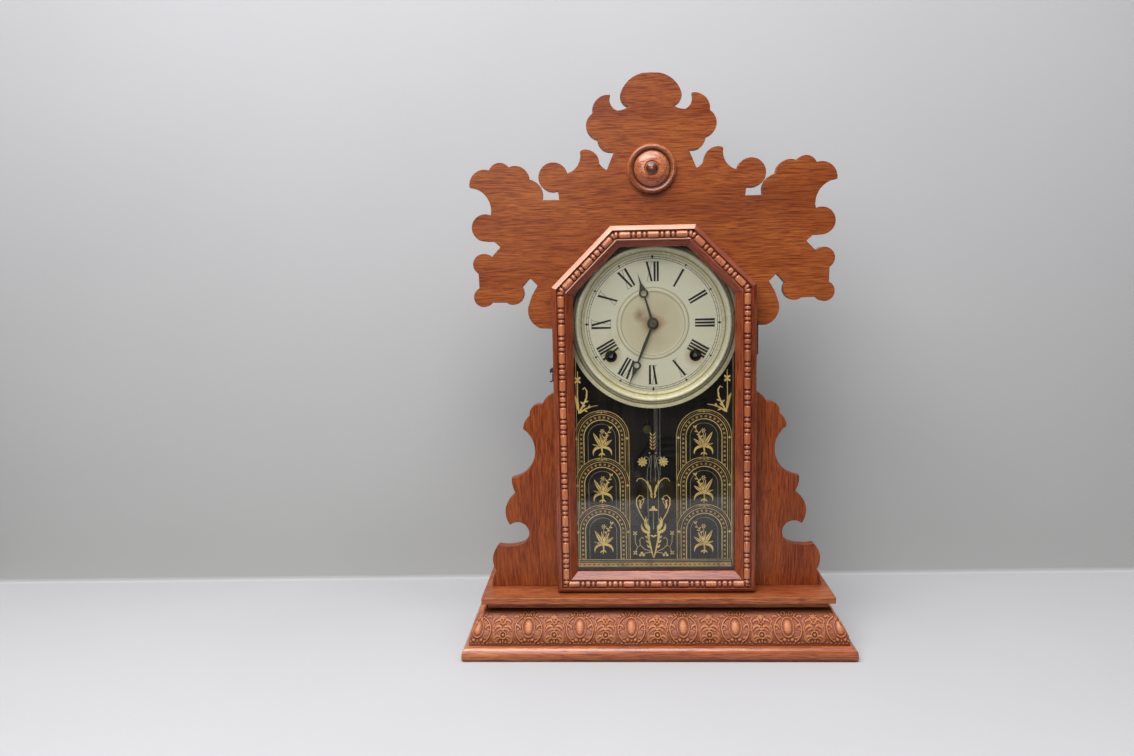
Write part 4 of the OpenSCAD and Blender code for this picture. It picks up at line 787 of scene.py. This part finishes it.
def dial_pan():
    """The pan: flat flange, rolled bezel, and the floor that the paper lies on."""
    steps, rings = 192, 26
    back, form = pan_high[1], BEZEL_FORM
    rows = [[(x, back - h, z) for x, z in circle(0, DIAL_Z, r, steps)] for r, h in form]
    verts = [row[k] for k in range(steps) for row in rows]
    faces = grid_faces(steps + 1, len(form))
    faces = [tuple(i % len(verts) for i in (a, d, c, b)) for a, b, c, d in faces]
    start = len(verts)
    for radius in np.linspace(form[-1][0], FLOOR_INNER_R, rings):
        verts += [(x, back - FLOOR_RISE, z) for x, z in circle(0, DIAL_Z, radius, steps)]
    for face in grid_faces(rings, steps, start, True):
        x, _, z = np.mean([verts[i] for i in face], 0)
        if hypot(abs(x) - WINDING_X, z - DIAL_Z + WINDING_DROP) > HOLE_CLEAR_R:
            faces.append(face)
    return add_mesh("dial_pan_and_bezel", verts, faces, True)


# Each figure's width, and its strokes: the foot and head of a bar, and its width. The head is the end away from
# the middle.
BAR, HAIR = 2.1, 0.36
GLYPHS = {"I": (3, [(0, 0, BAR)]), "V": (6.6, [(1.5, -1.4, BAR), (-0.6, 2.4, HAIR)]),
          "X": (7.2, [(2.2, -2.4, BAR), (-2.3, 2.3, HAIR)])}
NUMERALS = "XII I II III IIII V VI VII VIII IX X XI".split()
NUMERAL_R = (40.9, 59.6)
TRACK = (62.4, 64.4)
FOOT_SHARE, HEAD_SHARE = 0.44, 0.54  # how far a bar reaches to each side, over its width
SERIF_SHARES = (0.86, 1)


def dial_figures():
    """Numerals, minute track and hour marks, as thin printed shapes."""
    flat = Flat()
    for hour, text in enumerate(NUMERALS):
        turn = rad(30 * hour)

        def place(x, r):
            return (x * cos(turn) + r * sin(turn), DIAL_Z + r * cos(turn) - x * sin(turn))

        total = sum(GLYPHS[c][0] for c in text)
        x = -total / 2
        for c in text:
            advance, strokes = GLYPHS[c]
            mid = x + advance / 2
            for foot, head, width in strokes:
                flat.polygon([place(mid + end + width * share, r) for end, share, r in (
                    (foot, -FOOT_SHARE, NUMERAL_R[0]), (foot, FOOT_SHARE, NUMERAL_R[0]),
                    (head, HEAD_SHARE, NUMERAL_R[1]), (head, -HEAD_SHARE, NUMERAL_R[1]))])
            x += advance
        for r, share in zip(NUMERAL_R, SERIF_SHARES):
            reach = (total / 2 + 0.2) * share
            flat.stroke([place(-reach, r), place(reach, r)], 0.28)
        size = 1.25 if hour % 3 else 1.55
        flat.polygon([place(x * size, TRACK[1] + r * size) for x, r in ((0, -1.5), (0.85, 0), (0, 1.2), (-0.85, 0))])
    for radius in TRACK:
        flat.arc(DIAL_Z, radius, 0.42, 181)
    for minute in range(60):
        a = rad(6 * minute)
        flat.stroke([(r * sin(a), DIAL_Z + r * cos(a)) for r in TRACK], 0.28)
    return flat.piece("dial_figures", FACE_Y - 0.03)


# ---- gilt pattern on the lower glass
TABLET_X = -1.9  # the pattern sits a little left of the pane's middle
ARCH_X, ARCH_R, ARCH_Z = 49.4, 26.4, (214, 167.3, 120.6)
ARCH_FOOT = 92.0  # where the lowest arches end
OVALS_R = 19.9  # middle of the band of dark ovals in each arch
EDGE_X = 75.3  # the upright line at the edge of the gilding


def arch_path(radius, level):
    """Up one leg, over the top and down the other, to where the arch below or the base band starts."""
    z, foot = ARCH_Z[level], ARCH_FOOT
    if level < 2:
        foot = ARCH_Z[level + 1] + sqrt((ARCH_R + 0.3) ** 2 - radius ** 2)
    n = max(2, int((z - foot) / 2))
    left = [(ARCH_X - radius, foot + (z - foot) * i / n) for i in range(n)]
    top = [(ARCH_X + radius * cos(a), z + radius * sin(a)) for a in np.linspace(pi, 0, 41)]
    return left + top + [(2 * ARCH_X - p[0], p[1]) for p in reversed(left)]


def daisy(flat, x, z, size, petals):
    flat.fan(x, z, size * 0.8, size * 0.36, petals, 0, 0.55, 0.22 * size)
    flat.disc(x, z, size * 0.3, 9)


def bouquet(flat, veins, x, z, flip, tall):
    """Leaves and a small flower: a common stencilled spray."""
    def side(angle):
        return angle if flip > 0 else 180 - angle

    root, tip = (x, z + 9), (x + 8.4 * flip, z + tall)
    for angle, length, width, bend in ((119, 16.8, 3.3, 0), (99, 14, 1.9, -0.05), (60, 14.2, 2.2, 0.1),
                                       (38, 12.8, 2.7, 0), (154, 9.6, 1.8, 0.1), (176, 11.4, 2.5, 0.8),
                                       (6, 12.2, 2.5, -0.75), (80, 9, 1.6, 0)):
        flat.leaf(*root, side(angle), length, width, bend * flip)
        a = rad(side(angle))
        if abs(bend) < 0.2 and length > 9.2:
            veins.stroke([(x + length * u * cos(a), root[1] + length * u * sin(a)) for u in (0.22, 0.5, 0.84)], 0.5)
    flat.stroke([root, (x + 0.4, z + 4), (x - 0.3, z)], lambda t: 1.7 - 0.9 * t)
    flat.leaf(x, z + 3.4, side(205), 4, 1.4, 0.3 * flip)
    flat.leaf(x, z + 3.4, side(-20), 4, 1.4, -0.3 * flip)
    flat.stroke([root, (x + 3.6 * flip, z + tall - 8), tip], 0.5)
    for dx, dz, angle in ((3.2, -9.6, 128), (4.2, -7, 14), (5.2, -5.4, 138), (6.2, -3.6, 8), (8.4, 0, 50),
                          (8.4, 0, 116)):
        flat.leaf(x + dx * flip, z + tall + dz, side(angle), 3.2, 1.3)
    flower = (x + 0.6 * flip, z + tall - 2.4)
    daisy(flat, *flower, 2.5, 6)
    veins.disc(*flower, 0.5)
    flat.stroke([root, (x + 0.6 * flip, z + tall - 4.6)], 0.45)


def arches(gilt, band, dots, pale):
    for level, z in enumerate(ARCH_Z):
        for radius, width in ((17.3, 0.8), (22.6, 0.55), (ARCH_R, 0.55)):
            gilt.stroke(arch_path(radius, level), width)
        band.stroke(arch_path(OVALS_R, level), 1.9)
        band.stroke(arch_path(24.5, level), 0.28)
        pale.stroke(arch_path(13.3, level), 0.36)
        path = np.array(arch_path(OVALS_R, level))
        way = np.concatenate([[0], np.cumsum(np.hypot(*np.diff(path, axis=0).T))])
        for s in np.arange(2.6, way[-1] - 1.4, 4.4):
            p, q = (np.array([np.interp(at, way, path[:, k]) for k in (0, 1)]) for at in (s, s + 0.5))
            t = (q - p) / np.linalg.norm(q - p)
            n = np.array([-t[1], t[0]])
            dots.polygon([p - t * 1.5, p - t * 0.7 - n, p + t * 0.7 - n, p + t * 1.5, p + t * 0.7 + n, p - t * 0.7 + n])
        for s in (-1, 1):
            band.leaf(ARCH_X + s * 0.8, z + 24.6, 90 - s * 82, 5, 1.2, -0.2 * s)
            for x, height in circle(ARCH_X + s * 24.6, z - 1, 0.8, 4):
                gilt.disc(x, height, 0.6)
        gilt.disc(ARCH_X, z + 24.6, 0.8, 10)


def tablet():
    """Bright lines and leaves, the duller bands between them, and the dark dots on the bands."""
    gilt, band, dots, veins, pale = (Flat() for _ in range(5))
    arches(gilt, band, dots, pale)
    leaf, stroke = gilt.leaf, gilt.stroke
    # spray in the upper corner
    stroke([(71, 237.5), (72, 255), (71.6, 279)], lambda t: 1.1 - 0.5 * t)
    gilt.fan(71.8, 270.5, 4.2, 1.9)
    leaf(71.4, 240, 84, 17.5, 3, -0.15)
    stroke([(70.6, 238.4), (66.6, 246.4), (63.4, 253.4), (62.9, 259.6), (65, 263.2), (67.2, 261.4)],
           lambda t: 1.9 - 1.1 * t)
    for x, z, angle in ((67.8, 244, 150), (65.2, 249, 165), (63.6, 254, 100), (66.4, 247, 40)):
        leaf(x, z, angle, 4, 1.7)
    stroke([(70, 238.6), (64.6, 242.4), (58.6, 244.6), (52.6, 245.6)], lambda t: 1.8 - 1.3 * t)
    leaf(62, 243.4, 120, 3.6, 1.5)
    leaf(66, 241.2, 205, 4, 1.6)
    # spear and daisies in the middle
    for z in (201.6, 205, 208.4, 211.8, 215.2):
        leaf(0.3, z, 47, 4.3, 1.15, 0.15)
    leaf(0, 215.6, 90, 9.4, 1.3)
    stroke([(0, 199), (0, 215.6)], 0.4)
    pale.disc(3.1, 198.2, 0.9)
    daisy(gilt, 10.1, 189.6, 4.9, 9)
    pale.stroke([(8.6, 193.6), (6.8, 194.8), (4.5, 193.4), (3, 189.4), (2.3, 184)], 0.45)
    pale.stroke([(2.3, 196), (3.4, 189), (5.2, 182), (5.8, 174), (5.4, 166)], 0.4)
    pale.stroke([(1.2, 196), (1.6, 186), (2.4, 178), (2.2, 170)], 0.36)
    stroke([(0, 183), (0, 173)], 0.4)
    stroke([(2.2, 159.6), (4.2, 165.4), (7, 170.4), (11, 173.3), (14.4, 172.8), (16.3, 169.8)],
           lambda t: 1.3 - 0.8 * t)
    for x, z, angle in ((4.6, 166.2, 74), (1, 156.2, 70), (1.4, 159.4, 64), (1.8, 162.6, 60), (0.8, 153.2, 60)):
        leaf(x, z, angle, 5, 1.5, 0.2)
    stroke([(5.1, 125.2), (9.3, 131.6), (13.4, 139.2), (16.2, 146.8), (16.3, 152.8), (13.4, 156.2), (10.4, 155.4)],
           lambda t: 0.6 + 0.5 * sin(pi * t))
    stroke([(10.4, 155.4), (9, 152.6), (9.6, 149.4), (11.4, 146.4), (12.2, 142.6)], 0.5)
    leaf(12.6, 142.6, 84, 9, 1.6, 0.2)
    leaf(11.4, 149.8, 30, 3.4, 1.3)
    leaf(11, 151.6, 150, 3.6, 1.3)
    gilt.polygon([(0, 140.6), (4.4, 140.6), (3.8, 142.2), (1.8, 143.2), (1, 145.4), (0, 145.6)])
    pale.stroke([(5.2, 168), (5, 122)], 0.42)
    pale.stroke([(0.15, 140), (0.15, 122)], 0.5)
    # leaves, tendrils and cone at the foot
    leaf(3.2, 120, 50, 15.4, 2.8, 0.45)
    leaf(5.6, 123.6, 66, 9.6, 2, 0.5)
    leaf(2.8, 118.8, 4, 13, 2.8, 0.75)
    leaf(9.2, 119.2, 62, 6.2, 1.8, 0.3)
    leaf(4, 121, 88, 7, 1.7, -0.3)
    stroke([(5.4, 120.6), (4.6, 112), (2.6, 103), (0.3, 93.4)], lambda t: 2.7 - 1.9 * t)
    for x, z, angle in ((4.6, 113.4, 12), (4.2, 108.6, 20), (3.2, 103.6, 24), (3.4, 116, 190)):
        leaf(x, z, angle, 4.4, 1.7, 0.4)
    stroke([(0.5, 96.4), (4.4, 100.4), (9.2, 102.2), (13, 106.2), (13.6, 111.4), (11.4, 114.2), (9.6, 112.6)], 0.6)
    stroke([(3.6, 98.8), (8, 98.2), (10.2, 96.8)], 0.5)
    for x, z in ((11.6, 98.2), (13.2, 96), (10, 96)):
        gilt.disc(x, z, 1.25, 10)
    stroke([(13, 106.2), (15.8, 104.2), (17.9, 108.6), (18.2, 116.6)], 0.5)
    stroke([(15.8, 104.2), (17.8, 99.6)], 0.45)
    for z in (118.4, 98.4):
        gilt.fan(18.1, z, 2.6, 1.2)
    # base band
    for z, width in ((91.6, 0.4), (90, 0.34)):
        stroke([(0, z), (75.4, z)], width)
    band.stroke([(0, 86.4), (75.4, 86.4)], 4.2)
    for x in np.arange(2.4, 74, 4.7):
        dots.polygon([(x - 1.3, 86.5), (x, 85.8), (x + 1.3, 86.5), (x, 87.2)])
    for flat in (gilt, band, dots, pale):
        flat.mirrored()
    for x in (-EDGE_X - TABLET_X, EDGE_X - TABLET_X):
        stroke([(x, 84.2), (x, 292)], 0.34)
    for s in (-1, 1):
        for z, tall in ((195, 27.5), (148.8, 27), (97.5, 30)):
            bouquet(gilt, veins, s * ARCH_X, z, -s, tall)
    layers = (("tablet_gilding", gilt, 0.05), ("tablet_bands", band, 0.12), ("tablet_dots", dots, 0.09),
              ("tablet_veins", veins, 0.01), ("tablet_pale_lines", pale, 0.15))
    return [flat.piece(name, GLASS_BACK + gap, TABLET_X) for name, flat, gap in layers]


# ---- wound pieces inside
HAMMER_X, HAMMER_Z = -4.5, DIAL_Z - 115.3
STRIKE_FROM = 118.0  # the side of the coil that the hammer strikes from, in degrees
GONG_R, GONG_WIRE, GONG_TURNS, GONG_PITCH = 44, 1.5, 4.5, 7
GONG_AWAY = GONG_R + GONG_WIRE + 6.1  # from the hammer's head to the coil's middle
GONG_PAST = 40.0  # how far before the hammer the wire ends, in degrees


def gong_coil():
    low, high = span("gong_coil")
    y = (low[1] + high[1]) / 2
    cx = HAMMER_X + GONG_AWAY * cos(rad(STRIKE_FROM + 180))
    cz = HAMMER_Z + GONG_AWAY * sin(rad(STRIKE_FROM + 180))
    steps, skipped = 64, 11                  # in a turn, and left out at the middle for the straight end
    path = [(cx + d, y, cz - d) for d in (0, 2, 4)]
    for i in range(skipped, int(GONG_TURNS * steps) + 1):
        a = rad(STRIKE_FROM - GONG_PAST + 360 * (i / steps - GONG_TURNS))
        r = GONG_R - GONG_PITCH * (GONG_TURNS - i / steps)
        path.append((cx + r * cos(a), y, cz + r * sin(a)))
    return add_mesh("gong_wire_coil", *tube(path, GONG_WIRE, 14), True)


PILLAR, PILLAR_R = np.array([50, -70]), 2.6
SPRING_R, SPRING_T, SPRING_TURNS, SPRING_IN = 27.5, 0.45, 11, 5.63


def mainsprings():
    """Each spring as one ribbon: coils, then a straight run to its loop round the lowest pillar."""
    low, high = span("mainsprings")
    middle = np.array([WINDING_X, -WINDING_DROP])
    d = PILLAR - middle
    reach = np.linalg.norm(d)
    end = degrees(atan2(d[1], d[0]) - acos(SPRING_R / reach))
    steps = 60 * SPRING_TURNS
    path = []
    for i in range(steps + 1):
        a = rad(end - 6 * (steps - i))
        r = SPRING_IN + (SPRING_R - SPRING_IN) * i / steps - SPRING_T / 2
        path.append(middle + (r * cos(a), r * sin(a)))
    run = sqrt(reach ** 2 - SPRING_R ** 2) * np.array([cos(rad(end + 90)), sin(rad(end + 90))])
    path += [path[steps] + run * share for share in (0.33, 0.66, 0.93)]
    start = degrees(atan2(*(path[-1] - PILLAR)[::-1]))
    for k in range(1, 20):
        a = rad(start + 17 * k)
        path.append(PILLAR + (PILLAR_R + 0.6) * np.array([cos(a), sin(a)]))
    path = np.array(path)
    half = tangents(path)[:, ::-1] * (-1, 1) * SPRING_T / 2
    verts, faces = [], []
    for side in (1, -1):
        start = len(verts)
        for p, n in zip(path, half):
            for (x, z), y in ((p + n, low[1]), (p + n, high[1]), (p - n, high[1]), (p - n, low[1])):
                verts.append((side * x, y, DIAL_Z + z))
        faces += grid_faces(len(path), 4, start, True)
        faces += [tuple(range(start, start + 4)), tuple(range(len(verts) - 1, len(verts) - 5, -1))]
    return add_mesh("mainspring_ribbons", verts, faces)


# ---- pieces on their bodies
finish_piece(pressed_moulding(), pressed_oak, "case", ("base_front_moulding", "base_side_mouldings"))
finish_piece(bead_strips(), bead_oak, "door", ("door_bead_mouldings",))
finish_piece(dial_pan(), pan_material(), "case", ("dial_pan",))
finish_piece(dial_figures(), ink_material(), "case")
finish_piece(gong_coil(), gong_steel, "case", ("gong_coil",))
finish_piece(mainsprings(), spring_steel, "case", ("mainsprings",))
bright_gilt = gilt_material("gilding", (246, 218, 138), (204, 168, 96), (236, 188, 118))
dull_gilt = gilt_material("dull gilding", (200, 168, 98), (146, 122, 72), (204, 140, 84))
dark_backing = gilt_material("dark backing", (34, 30, 26), (26, 24, 22), (44, 36, 28))
pale_paint = gilt_material("pale lines", (178, 176, 154), (138, 140, 126), (180, 168, 134))
for layer, material in zip(tablet(), (bright_gilt, dull_gilt, dark_backing, dark_backing, pale_paint)):
    finish_piece(layer, material, "door")

# ---- materials and worn edges of the carried-over nodes
LOOKS = (
    (crest_oak, "crest_board"), (wing_oak, "wing_left wing_right"), (plinth_oak, "plinth_board"),
    (top_oak, "base_top_board"), (side_oak, "case_side_left case_side_right"), (roof_oak, "case_roof_boards"),
    (stile_oak, "door_stile_left door_stile_right"), (rail_oak, "door_bottom_rail"),
    (octagon_oak, "door_upper_rails"), (turned_oak, "crest_medallion"), (back_wood, "case_back_board"),
    (inner_wood, "base_back_rail dial_blocks glass_retaining_strips"), (glass_material(), "door_glass"),
    (hinge_brass, "door_hinge_leaves case_hinge_leaves"), (dark_steel, "latch_hook latch_screw latch_stud"),
    (paper_material(), "dial_face"), (dark_brass, "winding_grommets pendulum_bob"), (dull_brass, "strike_hammer"),
    (nut_steel, "hand_nut"), (hand_steel, "hour_hand minute_hand centre_arbor"), (black_iron, "gong_base"),
    (bright_steel, "dial_screws verge_and_crutch time_click strike_click time_winding_arbor strike_winding_arbor "
                   "pendulum_rod"),
    (plate_brass, "front_plate back_plate plate_pillars movement_feet"),
    (movement_brass, "time_great_wheel strike_great_wheel time_second_wheel strike_second_wheel strike_third_wheel "
                     "strike_warning_wheel strike_fly time_fourth_wheel escape_wheel minute_wheel hour_wheel"),
)
for material, names in LOOKS:
    for name in names.split():
        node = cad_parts[name]
        node.data.materials.clear()
        node.data.materials.append(material)
# how far the edges of each node are worn
WORN = ((0.8, "base_top_board"), (0.6, "case_back_board"),
        (0.5, "crest_board wing_left wing_right plinth_board base_back_rail"),
        (0.4, "case_side_left case_side_right dial_blocks"), (0.3, "case_roof_boards"),
        (0.22, "door_stile_left door_stile_right door_bottom_rail door_upper_rails"), (0.2, "crest_medallion"),
        (0.12, "latch_hook"), (0.1, "hour_hand minute_hand pendulum_bob"))


def wear_edges(node, width):
    """Joins the node's corners and flat faces, so that the bevel runs along whole edges."""
    for name, kind, settings in (
            ("joined corners", "WELD", {"merge_threshold": 0.002 * MM}),
            ("whole faces", "DECIMATE", {"decimate_type": "DISSOLVE", "angle_limit": rad(0.5)}),
            ("worn edges", "BEVEL", {"width": width * MM, "segments": 3, "limit_method": "ANGLE",
                                     "angle_limit": rad(40), "harden_normals": True})):
        made = node.modifiers.new(name, kind)
        for key, value in settings.items():
            setattr(made, key, value)


for width, names in WORN:
    for name in names.split():
        wear_edges(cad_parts[name], width)

# ---- stage
WALL_Y, COVE = 188, 5
TABLE_EDGE, WALL_TOP, SHEET_HALF = -620, 950, 820
WALL_TURN = 0.02  # how much the wall turns away to the right


def sweep():
    """Floor and wall of one pale sheet, with a small bend between them. From behind, the view goes through it."""
    profile = [(TABLE_EDGE, 0), (WALL_Y - COVE, 0)]
    profile += [(WALL_Y - COVE + COVE * sin(a), COVE - COVE * cos(a)) for a in np.linspace(0.1, pi / 2, 10)]
    profile += [(WALL_Y, z) for z in np.linspace(40, WALL_TOP, 12)]
    verts = [(x, y + WALL_TURN * x * (y > 0), z) for y, z in profile for x in (-SHEET_HALF, SHEET_HALF)]
    made = add_mesh("studio_sheet", verts, grid_faces(len(profile), 2), True)
    g = Graph("studio sheet")
    grain = g.noise(1800, 2, 0.5)
    cloud = g.noise(3, 2, 0.5)
    # painted light: the wall is made lighter towards its top, as light from above falls on it
    wall = g.mix(g.step(g.z, 0.05, 0.6), srgb(161, 161, 160), srgb(176, 176, 179))
    colour = g.mix(g.step(g.z, 0.5 * MM, 1.5 * MM), srgb(179, 179, 181), wall)
    colour = g.mix(g.step(cloud, 0.4, 0.65, 0, 0.06), colour, (0.2, 0.2, 0.2, 1))
    front = g.node("BsdfPrincipled", Base_Color=colour, Roughness=0.85, Normal=g.bump(grain, 0.05, 0.0002))
    behind = g.node("NewGeometry").outputs["Backfacing"]
    made.data.materials.append(g.show(g.blend(behind, front, g.node("BsdfTransparent"))))
    return made


def softbox(name, place, target, width, height, watts, colour):
    data = bpy.data.lights.new(name, "AREA")
    data.shape = "RECTANGLE"
    data.size, data.size_y = width * MM, height * MM
    data.energy = watts
    data.color = colour
    lamp = bpy.data.objects.new(name, data)
    lamp.location = Vector(place) * MM
    lamp.rotation_euler = (Vector(target) - Vector(place)).to_track_quat("-Z", "Y").to_euler()
    bpy.context.scene.collection.objects.link(lamp)
    return lamp


sweep()
softbox("key light", (-350, -1000, 1500), (0, 0, 260), 1500, 600, 27, (1, 0.99, 0.98))
softbox("front light", (-500, -1600, 900), (0, 0, 300), 900, 700, 7.5, (1, 0.99, 0.97))
softbox("ceiling light", (-60, -345, 1500), (0, -120, 300), 1400, 240, 8, (0.99, 0.99, 1))


def room():
    """A dim room with a pale ceiling, so that upright faces reflect little and slanting ones shine. The camera
    sees it pale all round."""
    g = Graph("room", "World")
    height = g.node("SeparateXYZ", Vector=g.node("TexCoord").outputs["Generated"]).outputs["Z"]
    light = g.node("Background", Color=(0.95, 0.97, 1, 1), Strength=g.step(height, 0.35, 0.65, 0.08, 0.85))
    pale = g.node("Background", Color=srgb(190, 190, 192))
    return g.show(g.blend(g.node("LightPath").outputs["Is Camera Ray"], light, pale))


bpy.context.scene.world = room()
bpy.context.scene.view_settings.view_transform = "Standard"

# ---- camera at the photo's viewing angle
YAW, DOWN, ROLL = -0.05029, 0.12346, -0.02059  # in radians
CAMERA_AT, FOCAL = (-38.5, -929.3, 384.5), 29.844
forward = Vector((sin(YAW) * cos(DOWN), cos(YAW) * cos(DOWN), -sin(DOWN)))
level = Vector((cos(YAW), -sin(YAW), 0))
upright = level.cross(forward)
right = level * cos(ROLL) + upright * sin(ROLL)
above = upright * cos(ROLL) - level * sin(ROLL)
lens = bpy.data.cameras.new("camera")
lens.sensor_width, lens.lens = 36, FOCAL
lens.clip_start, lens.clip_end = 0.01, 20.0  # in metres
camera = bpy.data.objects.new("camera", lens)
turn = Matrix((right, above, -forward)).transposed().to_4x4()
camera.matrix_world = Matrix.Translation(Vector(CAMERA_AT) * MM) @ turn
bpy.context.scene.collection.objects.link(camera)
bpy.context.scene.camera = camera
